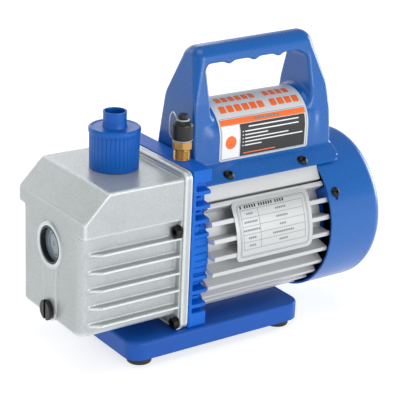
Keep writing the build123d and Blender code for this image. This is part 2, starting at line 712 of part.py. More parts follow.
def fan_cover():
    cover = x_cylinder(cover_radius, (cover_rim_x, cover_end_x))
    cover = fillet(cover.edges().group_by(Axis.X)[-1], cover_edge_radius)
    hollow = x_cylinder(cover_radius - cover_wall, (cover_rim_x - 1, cover_end_x - cover_wall))
    cover -= fillet(hollow.edges().group_by(Axis.X)[-1], cover_edge_radius - cover_wall)
    slot_disc = x_cylinder(vent_radius, (cover_end_x - 3, cover_end_x + 1))
    for k in range(-6, 7):
        z = shaft_z + vent_pitch * k
        slot = block((cover_end_x - 4, cover_end_x + 1), (-50, 50), (z - 1.8, z + 1.8)) & slot_disc
        cover -= slot - block((cover_end_x - 5, cover_end_x + 2), (-2.5, 2.5), (0, 150))
    for angle in cover_screw_angles:
        cover -= Pos(cover_screw_x, 0, 0) * radial(angle) * (Pos(0, 0, 60) * Cylinder(2.1, 12))
        lower = angle - 4.2 if angle < 90 else angle + 4.2
        cover -= Pos(cover_screw_x, 0, 0) * radial(lower) * (Pos(0, 0, 60) * Cylinder(1.6, 12))
    return cover


def cover_screws():
    screw = Pos(0, 0, cover_radius) * button_screw(4.3, 2.6, m4_radius, 10.0)
    return group(Pos(cover_screw_x, 0, 0) * radial(angle) * screw for angle in cover_screw_angles)


# --- Handle -------------------------------------------------------------------------------
def handle_side_outline(inset):
    """(x, z) outline of the handle's side view."""
    front, rear = handle_x[0] + inset, handle_x[1] - inset
    return [(front, 120), (front, 144), (front + 2.3, kink_z), (front + 11.0, grip_z[0] - inset),
            (rear - 12.2, grip_z[1] - inset), (rear - 2.6, kink_z), (rear, 166), (rear, 120)]


def handle_front_outline(inset):
    """(y, z) outline of the handle's end view."""
    foot = handle_foot_half_width - inset
    widths = [(foot, 120), (foot, 142), (kink_half_width - inset, kink_z),
              (grip_half_width - inset, grip_z[1])]
    return [(-y, z) for y, z in widths] + [(y, z) for y, z in reversed(widths)]


def handle_solid(inset):
    solid = side_prism(handle_side_outline(inset), 60) & front_prism(handle_front_outline(inset), (-60, 140))
    saddle_x = (gap_x[0] - 6, gap_x[1] + 6)
    solid += x_cylinder(saddle_radius - inset, saddle_x, 0, saddle_z)
    return solid + block(saddle_x, (-saddle_radius + inset, saddle_radius - inset), (120, saddle_z))


def finger_gap():
    """The through gap below the grip, with four finger grooves on its upper side."""
    front, rear = gap_x
    low, high = gap_top_z
    outline = [(front, saddle_z), (front, low - 1), (front + 3, low), (rear - 3, high), (rear, high - 1),
               (rear, saddle_z)]
    gap = side_prism(outline, 60)
    for k in range(groove_count):
        along = 10.5 + groove_pitch * k
        centre_z = low + (high - low) * along / (rear - front) + 1.5 - groove_radius
        groove = Pos(front + along, 0, centre_z) * Rot(90, 0, 0) * Cylinder(groove_radius, 120)
        gap += groove & block((front + 2, rear - 2), (-60, 60), (200, 220))
    return gap - x_cylinder(saddle_radius, (-60, 140), 0, saddle_z)


def skirt():
    """Curved foot of the handle, wrapped over the motor."""
    span = (handle_x[0], handle_x[1] + 0.6)
    edge_z = on_circle(skirt_radius, skirt_edge_angle)[1]
    trim = block(span, (-60, 60), (edge_z, 190))
    trim = fillet(trim.edges().filter_by(Axis.Y).group_by(Axis.Z)[0].sort_by(Axis.X)[-1], 9.0)
    return x_cylinder(skirt_radius, span) & trim


def finger_gap_walls():
    """Everything within a wall's thickness of the finger gap stays solid."""
    frame = block((gap_x[0] - handle_wall, gap_x[1] + handle_wall), (-60, 60), (saddle_z, 206))
    return frame - x_cylinder(saddle_radius - handle_wall, (-60, 140), 0, saddle_z)


def handle():
    body = handle_solid(0.0) + skirt() - finger_gap()
    inner = handle_solid(handle_wall)
    inner -= finger_gap_walls()
    body -= inner & block((-60, panel_x - 2.5), (-60, 60), (0, 204))
    body -= x_cylinder(skirt_inner_radius, (-60, 140))
    body -= block((panel_x, 120), (-panel_half_width, panel_half_width), panel_z)
    for (half_width, half_height), z in ((inlet_opening, power_z), (switch_opening, switch_z)):
        opening_z = (z - half_height, z + half_height)
        body -= block((panel_x - 5, panel_x + 1), (-half_width, half_width), opening_z)
    for x in handle_screw_xs:
        for angle in (handle_screw_angle, 180 - handle_screw_angle):
            body -= Pos(x, 0, 0) * radial(angle) * (Pos(0, 0, 63) * Cylinder(2.1, 12))
    return body


def handle_label():
    """Thin plate bent over the saddle."""
    x = (-2.4, 82.8)
    lower = [(-saddle_radius - 0.4, label_low_z), (-saddle_radius, label_low_z), (-saddle_radius, saddle_z),
             (-saddle_radius - 0.4, saddle_z)]
    band = x_ring(saddle_radius + 0.4, saddle_radius, x, 0, saddle_z)
    band &= block((-60, 140), (-40, 12.0), (saddle_z, 200))
    return band + front_prism(lower, x)


def handle_screws():
    screw = button_screw(4.7, 3.0, m4_radius, 12.0)
    pieces = []
    for x in handle_screw_xs:
        for angle in (handle_screw_angle, 180 - handle_screw_angle):
            pieces.append(Pos(x, 0, 0) * radial(angle) * (Pos(0, 0, skirt_radius) * screw))
    return group(pieces)


def run_capacitor():
    can = x_cylinder(15.5, (2.0, 66.0), 0, 158.0)
    can = fillet(can.edges().group_by(Axis.X)[0], 1.5)
    for y in (-5.0, 5.0):
        can += block((65.0, 73.0), (y - 0.4, y + 0.4), (155.0, 161.0))
    return can


def capacitor_clamp():
    ring = x_ring(16.7, 15.5, (26.0, 42.0), 0, 158.0)
    return ring + block((26.0, 42.0), (-7.0, 7.0), (140.6, 142.3)) - x_cylinder(15.5, (20, 50), 0, 158.0)


# --- Switch and power inlet ---------------------------------------------------------------
def switch_body():
    half_width, half_height = switch_opening
    z = (switch_z - half_height, switch_z + half_height)
    body = block((92.4, panel_x), (-half_width, half_width), z)
    body += block((panel_x, panel_x + 1.8), (-11.0, 11.0), (switch_z - 7.8, switch_z + 7.8))
    body -= block((95.5, panel_x + 3), (-8.9, 8.9), (switch_z - 5.8, switch_z + 5.8))
    return body - switch_pin(switch_pin_radius + running_gap, 6.4)


def switch_pin(radius, half_length):
    """Pin along Z that the rocker turns on."""
    return z_cylinder(radius, (switch_z - half_length, switch_z + half_length), switch_pivot_x, 0)


def switch_rocker():
    """Rocker in the off position: its +Y end is pressed in and its -Y end stands out. It turns about Z."""
    profile = [(-2.6, -4.5), (1.0, -8.0), (4.4, -8.0), (3.0, 0.0), (4.4, 8.0), (1.0, 8.0), (-2.6, 4.5)]
    face = Pos(0, 0, switch_z - 5.5) * make_face(Polyline(*profile, close=True))
    rocker = extrude(face, 11.0)
    return Pos(switch_pivot_x, 0, 0) * Rot(0, 0, 9.0) * rocker + switch_pin(switch_pin_radius, 6.3)


def power_inlet():
    half_width, half_height = inlet_opening
    z = (power_z - half_height, power_z + half_height)
    body = block((83.0, panel_x), (-half_width, half_width), z)
    flange = block((panel_x, panel_x + 2), (-15.3, 15.3), (power_z - 11.6, power_z + 11.6))
    body += fillet(flange.edges().filter_by(Axis.X), 2.0)
    socket = block((89.4, panel_x + 3), (-12.2, 12.2), (power_z - 8.2, power_z + 8.2))
    socket = chamfer(socket.edges().filter_by(Axis.X).group_by(Axis.Z)[-1], 3.5)
    body -= socket
    for y, z in pin_spots():
        body -= block((80, 90), (y - 1.0, y + 1.0), (z - 2.0, z + 2.0))
    return body


def pin_spots():
    return [(-7.0, power_z - 2.0), (7.0, power_z - 2.0), (0.0, power_z + 2.0)]


def inlet_pins():
    return group(block((76.0, 104.0), (y - 1.0, y + 1.0), (z - 2.0, z + 2.0)) for y, z in pin_spots())


# --- Pump module --------------------------------------------------------------------------
def pump_plate(x):
    plate = block(x, (-cylinder_half_width, cylinder_half_width), cylinder_z)
    plate = fillet(plate.edges().filter_by(Axis.X), 6.0)
    plate -= x_cylinder(stub_radius + running_gap, (x[0] - 1, x[1] + 1))
    for y, z in pump_bolt_spots:
        plate -= x_cylinder(m5_radius, (x[0] - 1, x[1] + 1), y, z)
    return plate


def pump_cylinder():
    x = (cylinder_front_x, rear_plate_front_x)
    cylinder = block(x, (-cylinder_half_width, cylinder_half_width), cylinder_z)
    cylinder = fillet(cylinder.edges().filter_by(Axis.X), 6.0)
    cylinder -= x_cylinder(bore_radius, (x[0] - 1, x[1] + 1), 0, shaft_z - bore_offset)
    for y, z in pump_bolt_spots:
        cylinder -= x_cylinder(m5_radius, (x[0] - 1, x[1] + 1), y, z)
    cylinder -= block((-56.0, -45.0), (-24.0, -16.0), (90.0, 108.0)) & x_cylinder(33.0, (-56.0, -45.0))
    cylinder -= z_cylinder(2.5, (90, 120), valve_x - 6, valve_y)
    for x in valve_screw_xs:
        cylinder -= z_cylinder(m3_radius, (cylinder_z[1] - 6, 120), x, valve_y)
    for y in (-baffle_screw_y, baffle_screw_y):
        cylinder -= z_cylinder(m3_radius, (cylinder_z[1] - 6, 120), valve_x, y)
    return cylinder


def reed_valve():
    width = (valve_y - 5.0, valve_y + 5.0)
    leaf = block((valve_x - 12, valve_x + 15), width, (cylinder_z[1], cylinder_z[1] + 0.3))
    for x in valve_screw_xs:
        leaf -= z_cylinder(m3_radius, (110, 120), x, valve_y)
    return leaf


def valve_stop():
    """Stop plate that curves up over the reed's free end."""
    low = cylinder_z[1] + 0.3
    outline = [(valve_x + 15, low), (valve_x + 4, low), (valve_x - 12, low + 2.2), (valve_x - 12, low + 3.4),
               (valve_x + 4, low + 1.2), (valve_x + 15, low + 1.2)]
    stop = Pos(0, valve_y, 0) * side_prism(outline, 5.0)
    for x in valve_screw_xs:
        stop -= z_cylinder(m3_radius, (110, 120), x, valve_y)
    return stop


def valve_screws():
    """Two screws clamp the reed and its stop, two hold the baffle's feet."""
    screw = button_screw(2.4, 1.5, m3_radius, 7.0)
    spots = [(x, valve_y, cylinder_z[1] + 1.5) for x in valve_screw_xs]
    spots += [(valve_x, y, cylinder_z[1] + 1.0) for y in (-baffle_screw_y, baffle_screw_y)]
    return group(Pos(*spot) * screw for spot in spots)


def pump_rear_plate():
    plate = pump_plate((rear_plate_front_x, gasket_rear_x))
    plate -= x_cylinder(inlet_bore_radius, (-60, -40), inlet_y, oil_way_z)
    return plate - x_cylinder(inlet_bore_radius, (-60, -40), -18.0, 92.0)


def pump_front_plate():
    return pump_plate((front_plate_front_x, cylinder_front_x))


def front_plate_cover():
    """Disc that closes the front bearing bore and carries the oil pick-up hole."""
    x = (front_plate_front_x - 2, front_plate_front_x)
    return x_cylinder(14.0, x) - x_cylinder(1.0, (x[0] - 1, x[1] + 1))


def pump_rotor():
    body_x = (cylinder_front_x + running_gap, rear_plate_front_x - running_gap)
    rotor = x_cylinder(pump_rotor_radius, body_x)
    rotor += x_cylinder(stub_radius, (front_plate_front_x + 0.5, body_x[0] + 1))
    rotor += x_cylinder(stub_radius, (body_x[1] - 1, gasket_rear_x - 0.5))
    slot = block(body_x, (-30, 30), (shaft_z - slot_width / 2, shaft_z + slot_width / 2))
    rotor -= slot
    return rotor - block((-48.2, -40), (-10, 10), (shaft_z - 2.0, shaft_z + 2.0))


def vane(side):
    x = (cylinder_front_x + 2 * running_gap, rear_plate_front_x - 2 * running_gap)
    tip = side * (pump_rotor_radius - 0.05)
    y = sorted((tip, tip - side * vane_height))
    blade = block(x, y, (shaft_z - vane_thickness / 2, shaft_z + vane_thickness / 2))
    return blade & x_cylinder(pump_rotor_radius - 0.02, x)


def vane_springs():
    """Two coil springs between the vanes' inner edges."""
    length = 2 * (pump_rotor_radius - 0.05 - vane_height) - 0.1
    coils = []
    for x in (-74.0, -59.4):
        path = Helix(pitch=2.4, height=length - 0.8, radius=1.4)
        section = Plane(origin=path @ 0, z_dir=path % 0) * Circle(0.3)
        spring = sweep(section, path)
        coils.append(Pos(x, -length / 2 + 0.4, shaft_z) * Rot(-90, 0, 0) * spring)
    return group(coils)


def pump_bolts():
    length = gasket_rear_x + 10 - front_plate_front_x
    bolt = Rot(0, -90, 0) * socket_screw(4.2, 5.0, m5_radius, length)
    return group(Pos(front_plate_front_x, y, z) * bolt for y, z in pump_bolt_spots)


def oil_baffle():
    """Bent splash plate between the reed valve and the exhaust opening, fixed on the pump cylinder."""
    x = (-92.0, -52.0)
    seat_z = cylinder_z[1]
    baffle = block(x, (-baffle_half_width, baffle_half_width), (baffle_top_z - 1, baffle_top_z))
    for side in (-1, 1):
        leg = sorted((side * (baffle_half_width - 1), side * baffle_half_width))
        foot = sorted((side * (baffle_half_width - 10), side * baffle_half_width))
        baffle += block(x, leg, (seat_z, baffle_top_z)) + block((-80.0, x[1]), foot, (seat_z, seat_z + 1))
        baffle -= z_cylinder(m3_radius, (seat_z - 1, seat_z + 2), valve_x, side * baffle_screw_y)
    return baffle


# --- Output -------------------------------------------------------------------------------
NODES = [
    base_plate, rubber_feet, foot_screws, base_bolts, oil_case, case_gasket, case_bolts,
    sight_glass_lens, sight_glass_ring, drain_plug, drain_plug_seal, exhaust_cap, exhaust_cap_gasket,
    filter_element, motor_bracket, inlet_fitting, inlet_cap, inlet_cap_seal, cap_strap, motor_housing,
    nameplate, stator_core, stator_windings, rotor_core, motor_shaft, bearing_outer_rings,
    bearing_inner_rings, bearing_balls, rear_end_bell, tie_bolts, wave_washer, shaft_seal, cooling_fan,
    fan_clip, fan_cover, cover_screws, handle, handle_label, handle_screws, run_capacitor,
    capacitor_clamp, switch_body, switch_rocker, power_inlet, inlet_pins, pump_cylinder,
    pump_rear_plate, pump_front_plate, front_plate_cover, pump_rotor, vane_springs, pump_bolts,
    reed_valve, valve_stop, valve_screws, oil_baffle,
]

os.makedirs("parts", exist_ok=True)
for node in NODES:
    save(node.__name__, node())
save("vane_a", vane(-1))
save("vane_b", vane(1))
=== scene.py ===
from math import cos, pi, radians, sin, tau

import bpy
import numpy as np
from numpy import hypot, maximum, minimum
from mathutils import Matrix, Vector


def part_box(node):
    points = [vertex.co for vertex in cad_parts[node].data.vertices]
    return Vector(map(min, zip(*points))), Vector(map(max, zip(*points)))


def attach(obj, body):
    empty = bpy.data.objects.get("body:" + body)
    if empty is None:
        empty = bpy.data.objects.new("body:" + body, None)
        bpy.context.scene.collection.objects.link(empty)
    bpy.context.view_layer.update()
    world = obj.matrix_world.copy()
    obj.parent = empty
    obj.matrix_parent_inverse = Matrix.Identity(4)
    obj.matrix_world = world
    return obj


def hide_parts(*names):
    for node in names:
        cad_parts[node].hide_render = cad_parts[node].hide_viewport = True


# A rotary vane vacuum pump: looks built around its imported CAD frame.
# Shapes are written in millimetres and scaled to metres when a mesh is made.
MM = 0.001

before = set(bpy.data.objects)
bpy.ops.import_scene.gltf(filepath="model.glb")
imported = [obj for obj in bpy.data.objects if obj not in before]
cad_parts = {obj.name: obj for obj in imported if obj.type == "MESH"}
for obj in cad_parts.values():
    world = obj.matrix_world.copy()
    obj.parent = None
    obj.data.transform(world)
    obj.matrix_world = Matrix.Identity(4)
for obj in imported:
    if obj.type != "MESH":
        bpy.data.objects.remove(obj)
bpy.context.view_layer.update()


# --- Places taken from the frame ---
def box_mm(node):
    low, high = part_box(node)
    return low / MM, high / MM


def centre_mm(node):
    low, high = box_mm(node)
    return (low + high) / 2


shaft_z = centre_mm("rotor_core").z


def link(thing):
    bpy.context.scene.collection.objects.link(thing)


# --- Camera ---
VIEW_AZIMUTH = radians(-35.79)
VIEW_ELEVATION = radians(20.49)
VIEW_ROLL = radians(2.45)
VIEW_DISTANCE = 1.0885
VIEW_AIM = Vector((-0.0043, -0.0065, 0.1028))
LENS = 126.64


def make_camera():
    back = Vector((sin(VIEW_AZIMUTH) * cos(VIEW_ELEVATION), -cos(VIEW_AZIMUTH) * cos(VIEW_ELEVATION),
                   sin(VIEW_ELEVATION)))
    level = Vector((cos(VIEW_AZIMUTH), sin(VIEW_AZIMUTH), 0))
    upright = back.cross(level)
    right = level * cos(VIEW_ROLL) + upright * sin(VIEW_ROLL)
    up = back.cross(right)
    camera = bpy.data.objects.new("camera", bpy.data.cameras.new("camera"))
    camera.data.lens = LENS
    camera.data.clip_start = 0.05
    rotation = Matrix((right, up, back)).transposed().to_4x4()
    camera.matrix_world = Matrix.Translation(VIEW_AIM + back * VIEW_DISTANCE) @ rotation
    link(camera)
    bpy.context.scene.camera = camera


# --- Studio ---
WORLD_STRENGTH = 0.36
LIGHT_AIM = (0, 0, 0.1)
# Name, place, width and height in metres, and power in watts.
LAMPS = (
    ("key", (0.25, -1.28, 0.46), (0.9, 0.6), 6.6),
    ("top", (-0.1, -0.1, 1.3), (0.9, 0.7), 3.2),
    ("front", (-1.25, -0.2, 0.45), (0.6, 0.8), 0.5),
    ("back", (0.05, 1.25, 0.75), (1.7, 0.6), 5.5),
    ("rim", (1.25, -0.05, 0.22), (0.6, 0.9), 11),
)
# Radius and height in metres: a flat floor that turns up into a wall.
BACKDROP_RINGS = ((0.4, 0), (6.0, 0), (6.6, 0.12), (7.0, 0.5), (7.1, 1.0), (7.15, 1.8))
BACKDROP_STEPS = 64
PAPER_GREY = 0.45
PAPER_GLOW = 0.72


def area_light(name, place, size, power):
    light = bpy.data.lights.new(name, "AREA")
    light.shape = "RECTANGLE"
    light.size, light.size_y = size
    light.energy = power
    lamp = bpy.data.objects.new(name, light)
    lamp.location = place
    lamp.rotation_mode = "QUATERNION"
    lamp.rotation_quaternion = (Vector(place) - Vector(LIGHT_AIM)).to_track_quat("Z", "Y")
    link(lamp)


def make_lights():
    world = bpy.data.worlds.new("studio")
    world.use_nodes = True
    background = world.node_tree.nodes["Background"]
    background.inputs["Color"].default_value = (1, 1, 1, 1)
    background.inputs["Strength"].default_value = WORLD_STRENGTH
    bpy.context.scene.world = world
    bpy.context.scene.view_settings.view_transform = "Standard"
    for lamp in LAMPS:
        area_light(*lamp)


def make_backdrop():
    turns = [tau * k / BACKDROP_STEPS for k in range(BACKDROP_STEPS)]
    points = [(r * cos(turn), r * sin(turn), z) for r, z in BACKDROP_RINGS for turn in turns]
    sheet = [face[::-1] for face in web(len(BACKDROP_RINGS), BACKDROP_STEPS)]
    floor_mesh = bpy.data.meshes.new("floor")
    floor_mesh.from_pydata(points, [], [tuple(range(BACKDROP_STEPS))] + sheet)
    floor = bpy.data.objects.new("floor", floor_mesh)
    link(floor)
    paper = bpy.data.materials.new("floor_paper")
    paper.use_nodes = True
    shader = paper.node_tree.nodes["Principled BSDF"]
    shader.inputs["Base Color"].default_value = (PAPER_GREY, PAPER_GREY, PAPER_GREY, 1)
    shader.inputs["Roughness"].default_value = 0.9
    shader.inputs["Emission Color"].default_value = (1, 1, 1, 1)
    shader.inputs["Emission Strength"].default_value = PAPER_GLOW
    floor_mesh.materials.append(paper)


# --- Materials ---
# Where a value starts to show in a finish, and where it shows in full.
NOISE_RANGE = (0.3, 0.7)
SPECK_RANGE = (0.42, 0.7)
EDGE_RANGE = (0.85, 0.995)  # cosine between the true normal and the softened one
CREST_RANGE = (0.505, 0.54)  # pointiness
# How much lighter edges (edge wear and painted highlight) and crests (painted highlight) become.
EDGE_GAIN = 1.5
CREST_GAIN = 1.7
# A Mix node has several sockets of each name, so its colour sockets go by number.
MIX_FACTOR, MIX_FIRST, MIX_SECOND, MIX_RESULT = 0, 6, 7, 2


def linear(display):
    """Scene-linear colour from 8-bit display values."""
    shares = [value / 255 for value in display]
    return tuple(s / 12.92 if s <= 0.04045 else ((s + 0.055) / 1.055) ** 2.4 for s in shares)


def shade(colour, factor):
    return (*(min(1.0, c * factor) for c in colour), 1.0)


def add_node(tree, kind, sockets=None, **settings):
    """New shader node. A socket's value may be a constant or another node's output."""
    node = tree.nodes.new(kind)
    for name, value in settings.items():
        setattr(node, name, value)
    for name, value in (sockets or {}).items():
        if isinstance(value, bpy.types.NodeSocket):
            tree.links.new(value, node.inputs[name])
        else:
            node.inputs[name].default_value = value
    return node


def blend_colours(tree, factor, first, second):
    mix = add_node(tree, "ShaderNodeMix", data_type="RGBA")
    for index, value in ((MIX_FACTOR, factor), (MIX_FIRST, first), (MIX_SECOND, second)):
        if isinstance(value, bpy.types.NodeSocket):
            tree.links.new(value, mix.inputs[index])
        else:
            mix.inputs[index].default_value = value
    return mix.outputs[MIX_RESULT]


def spread(tree, value, low, high, start=0.0, end=1.0):
    sockets = {"Value": value, "From Min": start, "From Max": end, "To Min": low, "To Max": high}
    return add_node(tree, "ShaderNodeMapRange", sockets).outputs["Result"]


def noise(tree, place, scale, detail):
    sockets = {"Vector": place, "Scale": scale, "Detail": detail}
    return add_node(tree, "ShaderNodeTexNoise", sockets).outputs["Fac"]


def finish(name, display, roughness, metallic=0.0, tone=0.06, patch=40.0, grain=1500.0, bump=0.1,
           depth=0.0002, stretch=(1, 1, 1), rough_spread=0.06, edge=0.0, rim=0.0007, speckle=0.0,
           crest_highlight=0.0, **constants):
    """Procedural finish: slow colour variation, fine grain in colour, bump and roughness, lighter
    edges (partly edge wear, partly painted highlight) and a painted highlight on convex crests.
    Patch and grain are noise scales; depth and rim are in metres."""
    colour = linear(display)
    material = bpy.data.materials.new(name)
    material.use_nodes = True
    tree = material.node_tree
    shader = tree.nodes["Principled BSDF"]
    place = add_node(tree, "ShaderNodeTexCoord").outputs["Object"]
    place = add_node(tree, "ShaderNodeMapping", {"Vector": place, "Scale": stretch}).outputs["Vector"]
    slow, fine = noise(tree, place, patch, 5.0), noise(tree, place, grain, 3.0)
    surface = blend_colours(tree, spread(tree, slow, 0, 1, *NOISE_RANGE), shade(colour, 1 - tone),
                            shade(colour, 1 + tone))
    dark = max(tone, speckle)
    surface = blend_colours(tree, spread(tree, fine, 0, dark, *SPECK_RANGE), surface,
                            shade(colour, 1 - 2 * dark))
    # Lighter rounded edges: partly edge wear, partly a painted highlight along them.
    if edge:
        softened = add_node(tree, "ShaderNodeBevel", {"Radius": rim}, samples=4).outputs["Normal"]
        true = add_node(tree, "ShaderNodeNewGeometry").outputs["Normal"]
        across = add_node(tree, "ShaderNodeVectorMath", {0: softened, 1: true}, operation="DOT_PRODUCT")
        worn_and_highlit = spread(tree, across.outputs["Value"], edge, 0, *EDGE_RANGE)
        surface = blend_colours(tree, worn_and_highlit, surface, shade(colour, EDGE_GAIN))
    # Painted highlight: convex crests, found by pointiness, are lightened towards a brighter colour.
    if crest_highlight:
        pointed = add_node(tree, "ShaderNodeNewGeometry").outputs["Pointiness"]
        raised = spread(tree, pointed, 0, crest_highlight, *CREST_RANGE)
        surface = blend_colours(tree, raised, surface, shade(colour, CREST_GAIN))
    tree.links.new(surface, shader.inputs["Base Color"])
    rough = spread(tree, fine, roughness - rough_spread, roughness + rough_spread, *NOISE_RANGE)
    tree.links.new(rough, shader.inputs["Roughness"])
    relief = add_node(tree, "ShaderNodeBump", {"Height": fine, "Strength": bump, "Distance": depth})
    tree.links.new(relief.outputs["Normal"], shader.inputs["Normal"])
    shader.inputs["Metallic"].default_value = metallic
    for socket, value in constants.items():
        shader.inputs[socket.replace("_", " ")].default_value = value
    return material


INKS = (("white_ink", (238, 240, 240), 0.015), ("orange_ink", (240, 110, 38), 0.03),
        ("black_ink", (38, 38, 40), 0.05), ("grey_ink", (120, 124, 128), 0.05))


def make_materials():
    grainy = {"grain": 2600.0, "bump": 0.35}
    inks = {name: finish(name, display, 0.42, tone=tone, grain=1200.0, bump=0.04)
            for name, display, tone in INKS}
    return inks | {
        # The case carries the strongest painted highlights on its edges and crests.
        "case": finish("cast_silver_paint", (187, 193, 194), 0.36, 0.4, tone=0.04, grain=1000.0,
                       bump=0.3, depth=0.0003, rough_spread=0.12, edge=0.3, rim=0.0022, speckle=0.3,
                       crest_highlight=0.7),
        "bracket": finish("bright_blue_paint", (0, 98, 200), 0.42, tone=0.07, bump=0.22, edge=0.2,
                          Specular_IOR_Level=0.25),
        "base": finish("blue_paint", (0, 80, 172), 0.42, grain=1300.0, bump=0.2, edge=0.2,
                       Specular_IOR_Level=0.35),
        "plastic": finish("blue_plastic", (0, 92, 173), 0.28, tone=0.03, grain=2200.0, bump=0.03,
                          edge=0.1, Coat_Weight=0.2, Coat_Roughness=0.2),
        "cap": finish("blue_cap_plastic", (0, 92, 184), 0.36, tone=0.04, grain=1800.0, bump=0.03,
                      Specular_IOR_Level=0.35),
        "extrusion": finish("bare_aluminium", (206, 208, 209), 0.42, 0.3, patch=160.0, grain=900.0,
                            bump=0.25, stretch=(0.02, 1, 1), edge=0.2),
        "plate": finish("nameplate_metal", (198, 201, 202), 0.36, 0.5, tone=0.03, grain=2000.0,
                        bump=0.05, stretch=(0.05, 1, 1)),
        "film": finish("label_film", (205, 210, 214), 0.4, tone=0.02, grain=1200.0, bump=0.04,
                       Coat_Weight=0.2),
        "screw": finish("black_oxide", (22, 22, 23), 0.3, 0.5, tone=0.12, **grainy, edge=0.6),
        "zinc": finish("zinc_steel", (190, 194, 196), 0.33, 1.0, tone=0.08, **grainy, edge=0.3),
        "steel": finish("ground_steel", (182, 185, 188), 0.2, 1.0, tone=0.05, grain=2400.0, bump=0.08,
                        stretch=(1, 0.1, 0.1)),
        "lamination": finish("lamination_steel", (120, 124, 130), 0.45, 0.8, tone=0.12, grain=2000.0,
                             bump=0.5, stretch=(1, 0.03, 0.03)),
        "copper": finish("enamelled_copper", (176, 92, 48), 0.32, 0.9, tone=0.14, grain=1400.0,
                         bump=0.6, stretch=(1, 0.2, 0.2)),
        "iron": finish("cast_iron", (108, 110, 112), 0.55, 0.7, tone=0.12, bump=0.5, edge=0.3),
        "vane": finish("vane_composite", (88, 70, 52), 0.5, tone=0.12, grain=1700.0, bump=0.3),
        "rubber": finish("black_rubber", (30, 31, 33), 0.62, tone=0.1, grain=1600.0, bump=0.3),
        "gasket": finish("gasket_fibre", (70, 74, 78), 0.75, tone=0.15, grain=1600.0, bump=0.6),
        "felt": finish("filter_felt", (226, 222, 208), 0.95, grain=1100.0, bump=1.0, depth=0.0008,
                       Sheen_Weight=0.3),
        "glass": finish("sight_glass", (150, 168, 180), 0.12, tone=0.05, grain=900.0, bump=0.03,
                        rough_spread=0.03, Transmission_Weight=0.35, Coat_Weight=0.6),
        "black": finish("black_plastic", (20, 20, 22), 0.36, tone=0.08, grain=1700.0, bump=0.15,
                        edge=0.4),
        "can": finish("capacitor_shell", (60, 62, 66), 0.4, tone=0.05),
        "brass": finish("yellow_brass", (198, 156, 92), 0.3, 0.9, tone=0.1, patch=120.0, bump=0.15,
                        edge=0.3),
        "tether": finish("translucent_plastic", (214, 218, 220), 0.35, tone=0.03, grain=1200.0,
                         bump=0.05, Subsurface_Weight=0.3, Transmission_Weight=0.2),
    }


FINISHES = {
    "case": ("oil_case",),
    "bracket": ("motor_bracket",),
    "base": ("base_plate", "rear_end_bell"),
    "plastic": ("handle", "fan_cover"),
    "cap": ("exhaust_cap",),
    "extrusion": ("motor_housing",),
    "plate": ("nameplate",),
    "film": ("handle_label",),
    "screw": ("case_bolts", "handle_screws", "cover_screws"),
    "zinc": ("foot_screws", "base_bolts", "tie_bolts", "pump_bolts", "valve_screws", "fan_clip",
             "capacitor_clamp", "oil_baffle", "inlet_pins"),
    "steel": ("motor_shaft", "bearing_outer_rings", "bearing_inner_rings", "bearing_balls",
              "wave_washer", "vane_springs", "reed_valve", "valve_stop", "pump_rotor"),
    "lamination": ("stator_core", "rotor_core"),
    "copper": ("stator_windings",),
    "iron": ("pump_cylinder", "pump_rear_plate", "pump_front_plate", "front_plate_cover"),
    "vane": ("vane_a", "vane_b"),
    "rubber": ("rubber_feet", "drain_plug_seal", "inlet_cap_seal", "shaft_seal"),
    "gasket": ("case_gasket", "exhaust_cap_gasket"),
    "felt": ("filter_element",),
    "glass": ("sight_glass_lens",),
    "black": ("sight_glass_ring", "drain_plug", "inlet_cap", "switch_body", "switch_rocker",
              "power_inlet", "cooling_fan"),
    "can": ("run_capacitor",),
    "brass": ("inlet_fitting",),
    "tether": ("cap_strap",),
}


def dress_frame():
    """Every CAD node gets its finish."""
    for look, nodes in FINISHES.items():
        for node in nodes:
            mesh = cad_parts[node].data
            mesh.materials.clear()
            mesh.materials.append(materials[look])


# --- Solid shapes as distance fields ---
# A field gives the distance in millimetres to a surface, negative inside. Fields take open
# coordinate grids (x, y, z), so flat outlines cost little. In joined, common and without, the
# last number is the radius of the fillet or the edge.
def joined(a, b, fillet=0.0):
    near = maximum(fillet - a, 0) ** 2 + maximum(fillet - b, 0) ** 2
    return maximum(fillet, minimum(a, b)) - np.sqrt(near)


def common(a, b, edge=0.0):
    near = maximum(edge + a, 0) ** 2 + maximum(edge + b, 0) ** 2
    return minimum(-edge, maximum(a, b)) + np.sqrt(near)


def without(a, b, edge=0.0):
    return common(a, -b, edge)


def between(value, low, high):
    return abs(value - (low + high) / 2) - (high - low) / 2


def brick(p, x, y, z, edge=0.0):
    """Box between (low, high) pairs, with rounded edges."""
    sides = [between(v, *span) + edge for v, span in zip(p, (x, y, z))]
    outside = np.sqrt(sum(maximum(s, 0) ** 2 for s in sides))
    inside = maximum(maximum(sides[0], sides[1]), sides[2])
    return outside + minimum(inside, 0) - edge


def rod(across, radius, along, span, edge=0.0):
    """Cylinder: across is the distance from its axis."""
    return common(across - radius, between(along, *span), edge)


def panel(p, half_width, z, corner):
    """Rounded rectangle across X, without end."""
    side = abs(p[1]) - half_width + corner
    height = between(p[2], *z) + corner
    inside = minimum(maximum(side, height), 0)
    return hypot(maximum(side, 0), maximum(height, 0)) + inside - corner


def convex(u, v, points, edges=0.0):
    """Convex outline in two coordinates, with one radius or a radius for each corner."""
    if not isinstance(edges, (list, tuple)):
        edges = [edges] * len(points)
    middle = np.mean(points, axis=0)
    field = None
    for (u0, v0), (u1, v1), edge in zip(points, points[1:] + points[:1], edges):
        normal = np.array((v1 - v0, u0 - u1)) / hypot(u1 - u0, v1 - v0)
        normal *= -np.sign(np.dot(normal, middle - (u0, v0)))
        side = (u - u0) * normal[0] + (v - v0) * normal[1]
        field = side if field is None else common(field, side, edge)
    return field


def repeated(value, first, pitch, count):
    """Distance from the nearest of several equally spaced planes."""
    return abs(value - first - pitch * np.clip(np.round((value - first) / pitch), 0, count - 1))


